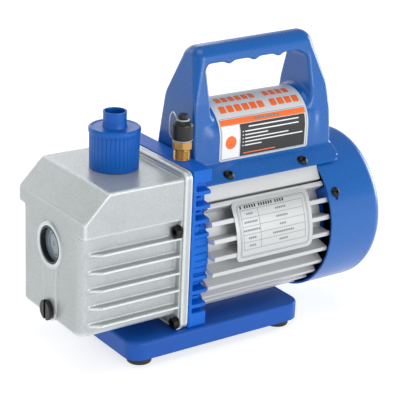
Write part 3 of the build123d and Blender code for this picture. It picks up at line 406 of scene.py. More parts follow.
def surface_net(field, low, high, step):
    """Vertices and quads of a field's surface: one vertex in each grid cell that it crosses."""
    # The grid reaches past the box on every side, so that the surface closes inside it.
    axes = [np.arange(a - 1.5 * step, b + 2.5 * step, step) for a, b in zip(low, high)]
    value = field(np.meshgrid(*axes, indexing="ij", sparse=True))
    value = np.ascontiguousarray(np.broadcast_to(value, [len(a) for a in axes]))
    solid = value < 0
    cells = tuple(n - 1 for n in value.shape)
    total = np.zeros(cells + (3,), np.float32)
    count = np.zeros(cells, np.int32)
    crossings = []
    for axis in range(3):
        others = [a for a in range(3) if a != axis]
        first, second = [slice(None)] * 3, [slice(None)] * 3
        first[axis], second[axis] = slice(0, -1), slice(1, None)
        start, stop = value[tuple(first)], value[tuple(second)]
        inside = solid[tuple(first)]
        crossed = inside != solid[tuple(second)]
        share = np.where(crossed, start / np.where(crossed, start - stop, 1), 0)
        crossings.append((crossed, inside))
        for offsets in ((0, 0), (0, 1), (1, 0), (1, 1)):
            part = [slice(None)] * 3
            for other, offset in zip(others, offsets):
                part[other] = slice(offset, offset + cells[other])
            hit = crossed[tuple(part)]
            total[..., axis] += share[tuple(part)]
            for other, offset in zip(others, offsets):
                total[..., other] += hit * offset
            count += hit
    used = count > 0
    number = np.full(cells, -1, np.int64)
    number[used] = np.arange(used.sum())
    corner = np.stack(np.nonzero(used), axis=1)
    points = np.array([a[0] for a in axes]) + (corner + total[used] / count[used][:, None]) * step
    quads = []
    for axis, (crossed, inside) in enumerate(crossings):
        others = [a for a in range(3) if a != axis]
        spot = np.stack(np.nonzero(crossed), axis=1)
        ring = []
        for offsets in ((0, 0), (1, 0), (1, 1), (0, 1)):
            cell = spot.copy()
            for other, back in zip(others, offsets):
                cell[:, other] -= back
            ring.append(number[tuple(cell.T)])
        quad = np.stack(ring, axis=1)
        flip = inside[crossed] == (axis == 1)
        quad[flip] = quad[flip][:, ::-1]
        quads.append(quad)
    return points, np.concatenate(quads)


def slope(field, points, reach=0.05):
    """Gradient of a field at points, by central differences."""
    parts = []
    for axis in range(3):
        ahead, behind = points.T.copy(), points.T.copy()
        ahead[axis] += reach
        behind[axis] -= reach
        parts.append((field(list(ahead)) - field(list(behind))) / (2 * reach))
    return np.stack(parts, axis=1)


def carve(field, low, high, step):
    """Mesh of a field's surface. Its vertices move onto it in three short Newton steps."""
    points, quads = surface_net(field, low, high, step)
    for _ in range(3):
        rise = slope(field, points)
        move = (field(list(points.T)) / maximum((rise ** 2).sum(axis=1), 0.2))[:, None] * rise
        points = points - np.clip(move, -step / 3, step / 3)
    return points, quads


# --- Meshes from rows of points ---
SHARP_ANGLE = radians(38)


def soften(points, radius, cuts=4):
    """Rounds the inner corners of an outline of (u, v) points."""
    rounded = [points[0]]
    for before, corner, after in zip(points, points[1:], points[2:]):
        corner = np.array(corner, float)
        arms = [np.array(end, float) - corner for end in (before, after)]
        lengths = [hypot(*arm) for arm in arms]
        reach = min(radius, 0.45 * min(lengths))
        start, stop = (corner + arm / length * reach for arm, length in zip(arms, lengths))
        for t in np.linspace(0, 1, cuts + 1):
            rounded.append(tuple((1 - t) ** 2 * start + 2 * t * (1 - t) * corner + t ** 2 * stop))
    return rounded + [points[-1]]


def web(rows, columns, wrap_rows=False, wrap_columns=True):
    """Quads that join rows of points, each with the same number of columns."""
    faces = []
    for row in range(rows if wrap_rows else rows - 1):
        for column in range(columns if wrap_columns else columns - 1):
            a, b = row * columns, (row + 1) % rows * columns
            c, d = column, (column + 1) % columns
            faces.append((a + c, a + d, b + d, b + c))
    return faces


def end_caps(count, columns):
    """Faces that close the first and the last row of count points."""
    return [tuple(range(columns)), tuple(range(count - 1, count - 1 - columns, -1))]


def basis(direction):
    """Three axes, the last along a direction."""
    up = Vector(direction).normalized()
    side = up.orthogonal().normalized()
    return np.array((side, up.cross(side), up))


def lathe(profile, origin, direction=(0, 0, 1), steps=96, wave=None, loop=False):
    """Closed solid turned from (radius, height) rows. A loop's profile comes back to its start.
    wave(height, radius, angles) adds to the radius."""
    angles = np.linspace(0, tau, steps, endpoint=False)
    rows = []
    for radius, height in profile:
        reach = radius + (wave(height, radius, angles) if wave else 0)
        ring = (reach * np.cos(angles), reach * np.sin(angles), np.full(steps, height))
        rows.append(np.stack(ring, axis=1))
    points = np.concatenate(rows) @ basis(direction) + np.array(origin)
    ends = [] if loop else end_caps(len(points), steps)
    return points, web(len(rows), steps, wrap_rows=loop) + ends


def placed(shape, origins, directions):
    """Copies of a shape that stands on the origin along Z."""
    points, faces = shape
    every_point, every_face = [], []
    for index, (origin, direction) in enumerate(zip(origins, directions)):
        every_point.append(points @ basis(direction) + np.array(origin))
        every_face += [tuple(int(v) + index * len(points) for v in face) for face in faces]
    return np.concatenate(every_point), every_face


def together(*shapes):
    points, faces, count = [], [], 0
    for shape_points, shape_faces in shapes:
        points.append(np.asarray(shape_points, float))
        faces += [tuple(int(v) + count for v in face) for face in shape_faces]
        count += len(shape_points)
    return np.concatenate(points), faces


def outward(points, faces):
    """Turns a closed mesh's faces so that they face out."""
    volume = 0.0
    for face in faces:
        a = points[face[0]]
        for second, third in zip(face[1:], face[2:]):
            volume += np.dot(a, np.cross(points[second], points[third]))
    return faces if volume > 0 else [tuple(reversed(face)) for face in faces]


def add_piece(name, shape, look, body, replaced=(), field=None):
    """Object from a mesh in millimetres, riding on a body. A field gives the exact normals."""
    points, faces = shape
    if field is None:
        faces = outward(points, faces)
    mesh = bpy.data.meshes.new(name)
    mesh.from_pydata((points * MM).tolist(), [], [tuple(map(int, face)) for face in faces])
    mesh.polygons.foreach_set("use_smooth", [True] * len(mesh.polygons))
    mesh.materials.append(materials[look])
    if field is None:
        mesh.set_sharp_from_angle(angle=SHARP_ANGLE)
    else:
        normals = slope(field, points)
        mesh.normals_split_custom_set_from_vertices(normals / np.linalg.norm(normals, axis=1)[:, None])
    piece = bpy.data.objects.new(name, mesh)
    link(piece)
    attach(piece, body)
    if replaced:
        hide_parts(*replaced)
    return piece


def add_casting(name, field, step, look, node):
    """Piece of the pump body whose surface is a field's zero level, in place of a node."""
    low, high = box_mm(node)
    add_piece(name, carve(field, low, high, step), look, "pump", [node], field)


# --- Oil case ---
case_low, case_high = box_mm("oil_case")
flange_rear_x = case_high.x
flange_front_x = flange_rear_x - 6.3
flange_half_width = case_high.y
flange_top_z = 145.8
flange_step_y = 48.6
flange_step_z = (23.5, 143.2)
case_front_x = case_low.x + 1.6
case_half_width = 42.8
case_bottom_z = 30.1
case_wall = 3.0
hood_half_width = 48.4
hood_bottom_z = 108.3
chamfer_z = 120.5
chamfer_run = 20.0
roof_z = 140.8
rib_bottom_z = 38.6
rib_step = 13.9
glass_z = centre_mm("sight_glass_lens").z
glass_boss_radius = 18.0
glass_seat_radius = 14.4
glass_bore_radius = 11.0
drain_z = centre_mm("drain_plug").z
drain_pad_radius = 9.0
drain_bore_radius = 4.0
cap_centre = centre_mm("exhaust_cap")
neck_radius = 14.5
neck_bore_radius = 11.5
bolt_y = 45.9
bolt_zs = (25.6, 99.5)
bolt_bore_radius = 2.6
bolt_recess_radius = 4.75


def case_outside(p):
    """Body and hood, without their open rear end."""
    x, y, z = p
    side = abs(y)
    low = common(common(case_front_x - x, side - case_half_width, 6.0), case_bottom_z - z, 3.0)
    low = maximum(low, z - roof_z + 8)
    rear_x = flange_rear_x + 9
    outline = [(case_front_x, hood_bottom_z), (case_front_x, chamfer_z),
               (case_front_x + chamfer_run, roof_z), (rear_x, roof_z), (rear_x, hood_bottom_z)]
    hood = common(convex(x, z, outline, 0.8), side - hood_half_width, 1.7)
    rise = roof_z - chamfer_z
    slant = ((z - chamfer_z) * chamfer_run - (x - case_front_x) * rise) / hypot(rise, chamfer_run)
    return maximum(joined(maximum(low, slant + 3.0), hood, 0.4), case_front_x - x)


def case_ribs(p):
    x, y, z = p
    side = abs(y)
    front_x, rear_x, root = case_front_x + 6, flange_front_x + 2, case_half_width - 4.8
    outline = [(front_x, case_half_width - 0.5), (front_x + 10, hood_half_width),
               (rear_x, hood_half_width), (rear_x, root), (front_x, root)]
    draft = 0.05 * (hood_half_width - side)
    ribs = repeated(z, rib_bottom_z, rib_step, 5) - 1.0 - draft
    return common(convex(x, side, outline), ribs, 0.7)


def case_solid(p):
    """The casting before anything is cut from it."""
    x, y, z = p
    field = joined(case_outside(p), case_ribs(p), 1.3)
    flange = panel(p, flange_half_width, (case_low.z, flange_top_z), 5.0)
    flange = common(flange, flange_front_x - x, 1.5)
    step = common(panel(p, flange_step_y, flange_step_z, 4.0), flange_front_x - 0.9 - x, 0.8)
    field = joined(field, minimum(flange, maximum(step, x - flange_rear_x)), 1.4)
    foot_x = (flange_front_x - 3.1, flange_front_x + 2)
    foot = brick(p, foot_x, (-50, 50), (case_low.z, case_low.z + 1.7), 0.4)
    field = joined(field, foot, 0.5)
    pad = convex(y, z, [(-12, glass_z - 6), (12, glass_z - 6),
                        (drain_pad_radius, drain_z), (-drain_pad_radius, drain_z)])
    pad = minimum(pad, hypot(y, z - drain_z) - drain_pad_radius)
    pad = common(pad, case_front_x - 1.0 - x, 0.7)
    boss = common(hypot(y, z - glass_z) - glass_boss_radius, case_low.x - x, 1.1)
    for raised, fillet in ((pad, 0.8), (boss, 1.4)):
        field = joined(field, maximum(raised, x - case_front_x - 2), fillet)
    neck = rod(hypot(x - cap_centre.x, y), neck_radius, z, (roof_z - 3, roof_z + 10), 0.8)
    return joined(field, neck, 1.5)


def case_field(p):
    x, y, z = p
    from_glass, from_drain = hypot(y, z - glass_z), hypot(y, z - drain_z)
    seat_rear_x = case_front_x + 9
    around_seat = glass_boss_radius - from_glass - maximum(x - seat_rear_x, 0)
    field = without(case_solid(p), common(case_outside(p) + case_wall, around_seat, 1.0), 0.6)
    bores = [(from_glass, glass_seat_radius, x, (case_front_x - 9, case_front_x + 5.6), 1.3),
             (from_glass, glass_bore_radius, x, (case_front_x, case_front_x + 12), 0.4),
             (from_drain, drain_bore_radius, x, (case_front_x - 5, case_front_x + 12), 0.4),
             (hypot(x - cap_centre.x, y), neck_bore_radius, z, (roof_z - 6, roof_z + 12), 0.6)]
    for bolt_z in bolt_zs:
        from_bolt = hypot(abs(y) - bolt_y, z - bolt_z)
        field = without(field, from_bolt - bolt_bore_radius)
        bores.append((from_bolt, bolt_recess_radius, x, (flange_front_x - 7, flange_front_x), 0.4))
    for *bore, edge in bores:
        field = without(field, rod(*bore), edge)
    return maximum(maximum(field, x - flange_rear_x), case_low.z - z)


# --- Bracket ---
bracket_low, bracket_high = box_mm("motor_bracket")
bracket_half_width = bracket_high.y
plate_rear_x = -39.5
core_half_width = 43.3
top_bar_z = 136.2
bottom_bar_z = 32.1
drum_radius = 51.0
short_rib_half_width = 47.0
bracket_rib_step = 11.3
inlet = centre_mm("inlet_fitting")


def bracket_solid(p):
    """Front plate, core with its bars and ribs, and bolt bosses, before anything is bored."""
    x, y, z = p
    side = abs(y)
    around = hypot(y, z - shaft_z)
    plate = panel(p, bracket_half_width, (bracket_low.z, bracket_high.z), 5.0)
    plate = common(plate, x - plate_rear_x, 0.8)
    core = maximum(side - core_half_width, between(z, 30, 138))
    top = panel(p, bracket_half_width, (top_bar_z, bracket_high.z), 0.8)
    top = common(top, top_bar_z - z, 0.6)
    bottom = panel(p, bracket_half_width, (bracket_low.z - 5, bottom_bar_z), 1.6)
    body = joined(joined(core, around - drum_radius, 0.8), minimum(top, bottom), 0.8)
    draft = 0.12 * (bracket_half_width - side)
    ribs = repeated(z, shaft_z - 40.1, bracket_rib_step, 9) - 1.5 - draft
    ribs = common(side - bracket_half_width, ribs, 0.5)
    short = repeated(z, shaft_z - 34.4, bracket_rib_step, 9) - 0.7 - draft / 2
    short = common(side - short_rib_half_width, short, 0.3)
    rear = x - bracket_high.x
    body = joined(common(body, rear, 0.5), common(ribs, rear, 0.5), 0.7)
    body = joined(body, common(short, rear + 5, 0.4), 0.5)
    groove = repeated(z, shaft_z - 26.0, bracket_rib_step / 2, 9) - 0.28
    drum_skin = maximum(drum_radius - 0.45 - around, plate_rear_x + 1 - x)
    body = without(body, common(groove, drum_skin), 0.2)
    for bolt_z in bolt_zs:
        boss = rod(hypot(side - bolt_y, z - bolt_z), 4.2, x, (-45, plate_rear_x + 4), 0.4)
        body = joined(body, boss, 0.4)
    return joined(plate, body, 0.8)


def bracket_field(p):
    x, y, z = p
    around = hypot(y, z - shaft_z)
    field = without(bracket_solid(p), rod(around, 11.0, x, (-50, -36.7)), 0.4)  # shaft seal
    field = without(field, rod(around, 14.0, x, (-34.6, 0)), 0.4)  # bearing
    field = without(field, around - 6.6)  # shaft
    field = without(field, rod(hypot(x - inlet.x, y - inlet.y), 6.0, z, (136.3, 160)), 0.3)
    field = maximum(field, bracket_low.x - x)
    field = maximum(maximum(field, x - bracket_high.x), z - bracket_high.z)
    return maximum(field, bracket_low.z - z)


# --- Handle ---
handle_low, handle_high = box_mm("handle")
saddle_radius = 26.0
saddle_z = 155.5
gap_x = (-8.0, 88.4)
gap_top_z = (210.8, 212.2)
groove_step = 23.5
groove_depth = 2.0
grip_z = (handle_high.z - 2.8, handle_high.z)
kink_z = 185.0
handle_wall = 3.0
panel_x = 104.4
recess_half_width = 17.5
recess_z = (143.0, 184.5)
skirt_radius = 65.6
skirt_inner_radius = 63.2
handle_screw_xs = (-0.4, 70.6)
handle_screw_angle = radians(56.0)
handle_screw_bore = 2.1


def finger_ceiling(x):
    """Underside of the grip: a rising line with four finger grooves."""
    share = (x - gap_x[0]) / (gap_x[1] - gap_x[0])
    wave = (1 - np.cos(tau * (x - gap_x[0] + 1.3) / groove_step)) / 2
    scallop = 1 - (1 - wave) ** 4
    return gap_top_z[0] + (gap_top_z[1] - gap_top_z[0]) * share - 0.6 + groove_depth * scallop


def handle_body(p):
    """Legs, grip, saddle and the opening below the grip."""
    x, y, z = p
    front, rear = handle_low.x, handle_high.x - 0.6
    outline = [(front, 110), (front, 144), (front + 2.3, kink_z), (front + 11.0, grip_z[0]),
               (rear - 12.2, grip_z[1]), (rear - 2.6, kink_z), (rear, 166), (rear, 110)]
    half_width = np.interp(z, (120, 142, kink_z, grip_z[1]), (25.8, 25.8, 20.4, 8.8))
    rounding = np.interp(z, (188, 216), (3.0, 7.6))
    from_saddle = hypot(y, maximum(z - saddle_z, 0)) - saddle_radius
    # The wide saddle blends into the narrower legs over 9 mm beside the gap.
    near = np.clip(1 - maximum(gap_x[0] - x, x - gap_x[1]) / 9, 0, 1)
    side = abs(y) - half_width
    side = side + near * near * (3 - 2 * near) * (minimum(side, from_saddle) - side)
    legs = common(convex(x, z, outline, [0, 1.5, 1.5, 7.0, 8.0, 1.5, 1.5, 0]), side, rounding)
    under = (z - finger_ceiling(x)) * 0.95
    opening = common(common(gap_x[0] - x, under, 3.2), x - gap_x[1], 7.0)
    opening = without(opening, from_saddle, 5.0)
    lip = 2.6 * np.clip((z - 158) / 20, 0.01, 1)
    return without(legs, opening, lip)


def handle_field(p):
    x, y, z = p
    around = hypot(y, z - shaft_z)
    body = handle_body(p)
    shell = maximum(around - skirt_radius, skirt_inner_radius - around)
    rim = common(handle_low.z - z, x - handle_high.x, 9.0)
    field = joined(body, common(shell, rim, 0.8), 1.8)
    hollow = maximum(maximum(body + handle_wall, z - 204), x - panel_x + 2.5)
    field = without(field, hollow, 0.5)
    recess = brick(p, (panel_x, 120), (-recess_half_width, recess_half_width), recess_z, 1.5)
    field = without(field, recess, 0.8)
    for node, rim_width in (("power_inlet", 1.4), ("switch_body", 1.1)):
        low, high = box_mm(node)
        hole = [(low[a] + rim_width, high[a] - rim_width) for a in (1, 2)]
        field = without(field, brick(p, (95, 120), *hole, 0.8))
    lateral = -abs(y) * sin(handle_screw_angle) + (z - shaft_z) * cos(handle_screw_angle)
    for screw_x in handle_screw_xs:
        field = without(field, hypot(x - screw_x, lateral) - handle_screw_bore)
    field = maximum(field, skirt_inner_radius - around)
    return maximum(maximum(field, handle_low.x - x), x - handle_high.x)


# --- Fasteners ---
def hexagon(u, v, flats):
    turn = radians(60)
    sides = [abs(u * cos(k * turn) + v * sin(k * turn)) - flats / 2 for k in range(3)]
    return maximum(maximum(sides[0], sides[1]), sides[2])


# Sizes in millimetres. Flats are those of the socket, and a knurl is the depth of the ridges.
CAP_SCREW = {"head": 4.25, "height": 5.0, "shank": 2.5, "length": 13.0, "flats": 4.0, "knurl": 0.08}
HANDLE_BUTTON = {"head": 4.7, "height": 3.0, "shank": 2.0, "length": 12.0, "flats": 2.9, "dome": True}
COVER_BUTTON = {"head": 4.3, "height": 2.6, "shank": 2.0, "length": 10.0, "flats": 2.6, "dome": True}
KNURL_RIDGES = 36
cover_radius = 63.0
cover_screw_x = 90.8
cover_screw_angles = (29, 151, 270)


def screw_field(head, height, shank, length, flats, knurl=0.0, dome=False):
    """Screw that stands on Z = 0, head up, with a hexagon socket."""
    def field(p):
        x, y, z = p
        across = hypot(x, y)
        ridges = knurl * np.cos(KNURL_RIDGES * np.arctan2(y, x))
        solid = rod(across, head - knurl + ridges, z, (0, height), 0.45)
        if dome:
            dome_radius = (head ** 2 + height ** 2) / (2 * height)
            solid = common(solid, hypot(across, z - height + dome_radius) - dome_radius, 0.3)
        socket_floor = height * (0.35 if dome else 0.4)
        solid = without(solid, common(hexagon(x, y, flats), socket_floor - z), 0.25)
        return joined(solid, rod(across, shank, z, (-length, 1), 0.4), 0.2)
    return field


def add_screws(name, node, size, spots):
    """Identical screws at (origin, direction) spots, in place of a node."""
    head = size["head"]
    low, high = (-head, -head, -size["length"]), (head, head, size["height"])
    shape = carve(screw_field(**size), low, high, 0.44)
    add_piece(name, placed(shape, *zip(*spots)), "screw", "pump", [node])


def on_circle(radius, angle, x):
    """Point around the shaft, at an angle above the -Y direction."""
    return (x, -radius * cos(angle), shaft_z + radius * sin(angle))


def outwards(angle):
    return (0, -cos(angle), sin(angle))


def make_screws():
    spots = [((flange_front_x, y, z), (-1, 0, 0)) for y in (-bolt_y, bolt_y) for z in bolt_zs]
    add_screws("case_cap_screws", "case_bolts", CAP_SCREW, spots)
    angles = (handle_screw_angle, pi - handle_screw_angle)
    spots = [(on_circle(skirt_radius, angle, x), outwards(angle))
             for x in handle_screw_xs for angle in angles]
    add_screws("handle_button_screws", "handle_screws", HANDLE_BUTTON, spots)
    spots = [(on_circle(cover_radius, radians(angle), cover_screw_x), outwards(radians(angle)))
             for angle in cover_screw_angles]
    add_screws("cover_button_screws", "cover_screws", COVER_BUTTON, spots)


# --- Exhaust cap ---
FLUTES = 36
flute_depth = 0.8
spout_outer_radius = 8.75
spout_inner_radius = 7.6
thread_top_z = 151.8


def make_exhaust_cap():
    low, high = box_mm("exhaust_cap")
    lid = high.z - 11.7
    outline = [(14.8, low.z), (18.5, low.z), (18.8, lid - 5.4), (19.4, lid - 3.6), (19.4, lid - 0.9),
               (18.5, lid), (17.0, lid), (16.4, lid - 0.4), (9.2, lid - 0.4),
               (spout_outer_radius, lid + 3), (spout_outer_radius, high.z - 1.6),
               (8.9, high.z - 1.3), (8.9, high.z), (7.8, high.z),
               (spout_inner_radius, high.z - 0.9), (spout_inner_radius, lid - 2.5), (16.2, lid - 2.5),
               (16.2, thread_top_z), (14.8, thread_top_z), (14.8, low.z + 0.4)]

    def flutes(height, radius, angles):
        fluted = radius > 18.2 and low.z + 0.5 < height < lid - 4.4
        return flute_depth * (abs(np.cos(FLUTES / 2 * angles)) ** 0.35 - 1) if fluted else 0.0

    shape = lathe(soften(outline, 0.45, 2), (cap_centre.x, cap_centre.y, 0), steps=FLUTES * 10,
                  wave=flutes, loop=True)
    add_piece("fluted_exhaust_cap", shape, "cap", "exhaust_cap", ["exhaust_cap"])


# --- Inlet ---
inlet_low, inlet_high = box_mm("inlet_fitting")
hex_z = (154.6, 160.8)
hex_flats = 14.0
neck_pitch = 1.5
flare_pitch = 1.27
knob_z = box_mm("inlet_cap")[1].z - 4.8


def fitting_field(p):
    x, y, z = p[0] - inlet.x, p[1] - inlet.y, p[2]
    across = hypot(x, y)
    turn = np.arctan2(y, x) / tau
    coarse, fine = (abs(np.mod(z / pitch - turn, 1) - 0.5) * 2
                    for pitch in (neck_pitch, flare_pitch))
    neck = rod(across, 6.4 - 0.7 * np.clip(1.3 - 1.6 * coarse, 0, 1), z, (146.3, hex_z[0] + 1), 0.3)
    stem = rod(across, 6.0, z, (inlet_low.z, 147), 0.3)
    nut = common(hexagon(y, x, hex_flats), between(z, *hex_z), 0.35)
    chamfer = maximum(abs(z - sum(hex_z) / 2) - 2.5, 0) * 1.5
    nut = common(nut, (across - 8.0 + chamfer) * 0.6, 0.3)
    flare = rod(across, 5.55 - 0.45 * fine, z, (hex_z[1] - 1, inlet_high.z - 3), 0.3)
    cone = (across - 5.4 + (z - inlet_high.z + 3) * 0.62) * 0.85
    tip = common(cone, between(z, inlet_high.z - 3.3, inlet_high.z), 0.3)
    field = joined(joined(neck, stem, 0.3), nut, 0.4)
    field = joined(joined(field, flare, 0.4), tip, 0.3)
    return without(field, across - 3.0, 0.4)


def make_inlet():
    add_casting("threaded_inlet_fitting", fitting_field, 0.45, "brass", "inlet_fitting")
    low, high = box_mm("inlet_cap")
    top = knob_z
    seal_top = box_mm("inlet_cap_seal")[1].z
    outline = [(0.05, seal_top), (5.85, seal_top), (5.85, low.z), (7.6, low.z), (7.95, low.z + 1.2),
               (8.0, top - 3.6), (7.5, top - 2.2), (5.6, top), (3.3, top), (3.3, top + 1.3),
               (3.75, top + 1.6), (3.75, high.z - 0.5), (3.1, high.z), (0.05, high.z)]

    def ribs(height, radius, angles):
        if height > top + 1.3 and radius > 2:
            return 0.3 * (abs(np.cos(6 * angles)) - 1)
        if radius > 7.4 and low.z + 1 < height < top - 3:
            return 0.14 * (abs(np.cos(18 * angles)) - 1)
        return 0.0

    shape = lathe(soften(outline, 0.5), (inlet.x, inlet.y, 0), steps=144, wave=ribs)
    add_piece("ribbed_inlet_cap", shape, "black", "inlet_cap", ["inlet_cap"])


def ring_shape(outer, inner, z, centre, edge=0.35):
    """Flat ring with rounded edges."""
    outline = [(inner, z[0]), (outer, z[0]), (outer, z[1]), (inner, z[1]), (inner, z[0] + edge)]
    return lathe(soften(outline, edge), (centre.x, centre.y, 0), steps=72, loop=True)


def smooth_line(points, count):
    """Points along a curve through control points."""
    curve = bpy.data.curves.new("guide", "CURVE")
    curve.dimensions = "3D"
    curve.resolution_u = count
    spline = curve.splines.new("NURBS")
    spline.points.add(len(points) - 1)
    for knot, point in zip(spline.points, points):
        knot.co = (*point, 1)
    spline.order_u = 3
    spline.use_endpoint_u = True
    guide = bpy.data.objects.new("guide", curve)
    mesh = bpy.data.meshes.new_from_object(guide)
    line = np.array([v.co for v in mesh.vertices])
    bpy.data.objects.remove(guide)
    bpy.data.meshes.remove(mesh)
    bpy.data.curves.remove(curve)
    return line


def make_tether():
    """Ring on the cap's knob, ring below the cap, and the thin band that joins them."""
    low_z, top = box_mm("inlet_cap")[0].z, knob_z
    away = radians(130)
    out = np.array((cos(away), sin(away), 0))
    side = np.array((-sin(away), cos(away), 0))
    route = [(4.5, top + 0.5), (6.0, top + 3.0), (7.4, top + 5.6), (9.4, top + 4.6), (10.2, top - 1.0),
             (10.1, low_z + 5), (9.2, low_z + 0.6), (7.2, low_z - 0.55)]
    centre = np.array((inlet.x, inlet.y, 0))
    line = smooth_line([centre + out * s + np.array((0, 0, z)) for s, z in route], 8)
    along = np.gradient(line, axis=0)
    along /= np.linalg.norm(along, axis=1)[:, None]
    across = np.cross(along, side)
    half_width, half_thickness, steps = 1.15, 0.42, 14
    angles = np.linspace(0, tau, steps, endpoint=False)[:, None]
    flat, thick = side * half_width * np.cos(angles), half_thickness * np.sin(angles)
    points = np.concatenate([point + flat + normal * thick for point, normal in zip(line, across)])
    parts = [(points, web(len(line), steps) + end_caps(len(points), steps)),
             ring_shape(5.0, 3.45, (top + 0.02, top + 1.0), inlet),
             ring_shape(7.6, 6.2, (low_z - 1.0, low_z - 0.1), inlet)]
    parts = [(points, outward(points, faces)) for points, faces in parts]
    add_piece("cap_tether", together(*parts), "tether", "strap", ["cap_strap"])


# --- Sight glass and drain plug ---
def make_front_fittings():
    low, high = box_mm("sight_glass_lens")
    face = high.x - low.x
    outline = [(0.05, 0), (14.35, 0), (14.35, face - 0.5), (13.6, face), (8.9, face),
               (8.6, face - 0.35), (8.0, face - 0.35), (7.7, face), (1.6, face), (1.3, face - 0.4), (0.05, face - 0.5)]
    shape = lathe(soften(outline, 0.3), (high.x, 0, glass_z), (-1, 0, 0))
    add_piece("sight_glass_window", shape, "glass", "pump", ["sight_glass_lens"])
    low, high = box_mm("drain_plug")

    def plug_field(p):
        x, y, z = p
        across = hypot(y, z - drain_z)
        ridges = 0.12 * (np.cos(40 * np.arctan2(z - drain_z, y)) - 1)
        head = rod(across, 8.0 + ridges, x, (low.x, case_front_x - 2), 0.8)
        head = without(head, maximum(abs(y) - 1.3, x - low.x - 2.0), 0.3)  # the slot
        return joined(head, rod(across, drain_bore_radius, x, (case_front_x - 3, high.x), 0.4), 0.3)

    add_piece("slotted_drain_plug", carve(plug_field, low, high, 0.42), "black", "drain_plug",
              ["drain_plug"], plug_field)


# --- Printed plates ---
CORNER_POINTS = 6
SIDE_POINTS = 30
nameplate_radius = 59.53
nameplate_arc = 60.3 * radians(1)  # millimetres along the plate for a degree around the motor


def plate_shape(u, v, corner, heights, wrap, pitch=1.2):
    """Thin closed plate with rounded corners; wrap(u, v, height) bends it."""
    height = v[1] - v[0]
    corner = max(min(corner, 0.499 * height, 0.499 * (u[1] - u[0])), 0.01)
    turn = np.linspace(0, pi / 2, CORNER_POINTS)
    ends = corner * (1 - np.cos(turn))
    middle = np.linspace(v[0] + corner, v[1] - corner, max(2, int(height / pitch)))
    rows = np.concatenate((v[0] + ends[:-1], middle, v[1] - ends[:-1][::-1]))
    from_end = minimum(rows - v[0], v[1] - rows)
    inset = corner - np.sqrt(maximum(corner ** 2 - maximum(corner - from_end, 0) ** 2, 0))
    columns = 8
    across = np.linspace(0, 1, columns)
    points = []
    for level in heights:
        for row, shift in zip(rows, inset):
            us = u[0] + shift + (u[1] - u[0] - 2 * shift) * across
            points += [wrap(value, row, level) for value in us]
    count = len(rows)
    shift = count * columns
    sheet = web(count, columns, wrap_columns=False)
    faces = [face[::-1] for face in sheet] + [tuple(v + shift for v in face) for face in sheet]
    rim = list(range(columns)) + [columns * row + columns - 1 for row in range(1, count)]
    rim += [columns * (count - 1) + c for c in range(columns - 2, -1, -1)]
    rim += [columns * row for row in range(count - 2, 0, -1)]
    faces += [(a, b, b + shift, a + shift) for a, b in zip(rim, rim[1:] + rim[:1])]
    points = np.array(points)
    return points, outward(points, faces)


def frame_shape(u, v, corner, width, heights, wrap):
    """Thin rounded frame line. Its sides have extra points, so that they bend with the plate."""
    bottom, top = heights
    loops = []
    for inset, level in ((0, bottom), (0, top), (width, top), (width, bottom)):
        radius = max(corner - inset, 0.2)
        u_low, u_high = u[0] + inset + radius, u[1] - inset - radius
        v_low, v_high = v[0] + inset + radius, v[1] - inset - radius
        centres = ((u_high, v_high), (u_low, v_high), (u_low, v_low), (u_high, v_low))
        outline = [(cu + radius * cos(turn), cv + radius * sin(turn))
                   for quarter, (cu, cv) in enumerate(centres)
                   for turn in np.linspace(quarter * pi / 2, (quarter + 1) * pi / 2, CORNER_POINTS)]
        loop = []
        for index, (start, stop) in enumerate(zip(outline, outline[1:] + outline[:1])):
            pieces = SIDE_POINTS if index % CORNER_POINTS == CORNER_POINTS - 1 else 1
            for share in np.linspace(0, 1, pieces, endpoint=False):
                loop.append(wrap(*(a + (b - a) * share for a, b in zip(start, stop)), level))
        loops.append(loop)
    points = np.array([point for loop in loops for point in loop])
    return points, outward(points, web(4, len(loops[0]), wrap_rows=True))


def wrap_label(x, along, height):
    """Label coordinates: along runs up the flat flank and on over the saddle."""
    low_z = box_mm("handle_label")[0].z
    flat = saddle_z - low_z
    reach = saddle_radius + height
    if along <= flat:
        return (x, -reach, low_z + along)
    angle = (along - flat) / saddle_radius
    return (x, -reach * cos(angle), saddle_z + reach * sin(angle))


def wrap_nameplate(x, along, height):
    angle = radians(along / nameplate_arc)
    reach = nameplate_radius + height
    return (x, -reach * cos(angle), shaft_z + reach * sin(angle))


def add_print(name, shapes, look):
    add_piece(name, together(*shapes), look, "pump")


def blocks(u, v, counts, gap, word_gap):
    """Row of plain rounded blocks in groups, in place of lettering."""
    total = sum(counts)
    width = (u[1] - u[0] - gap * (total - len(counts)) - word_gap * (len(counts) - 1)) / total
    spans, at = [], u[0]
    for count in counts:
        for _ in range(count):
            spans.append(((at, at + width), v))
            at += width + gap
        at += word_gap - gap
    return spans


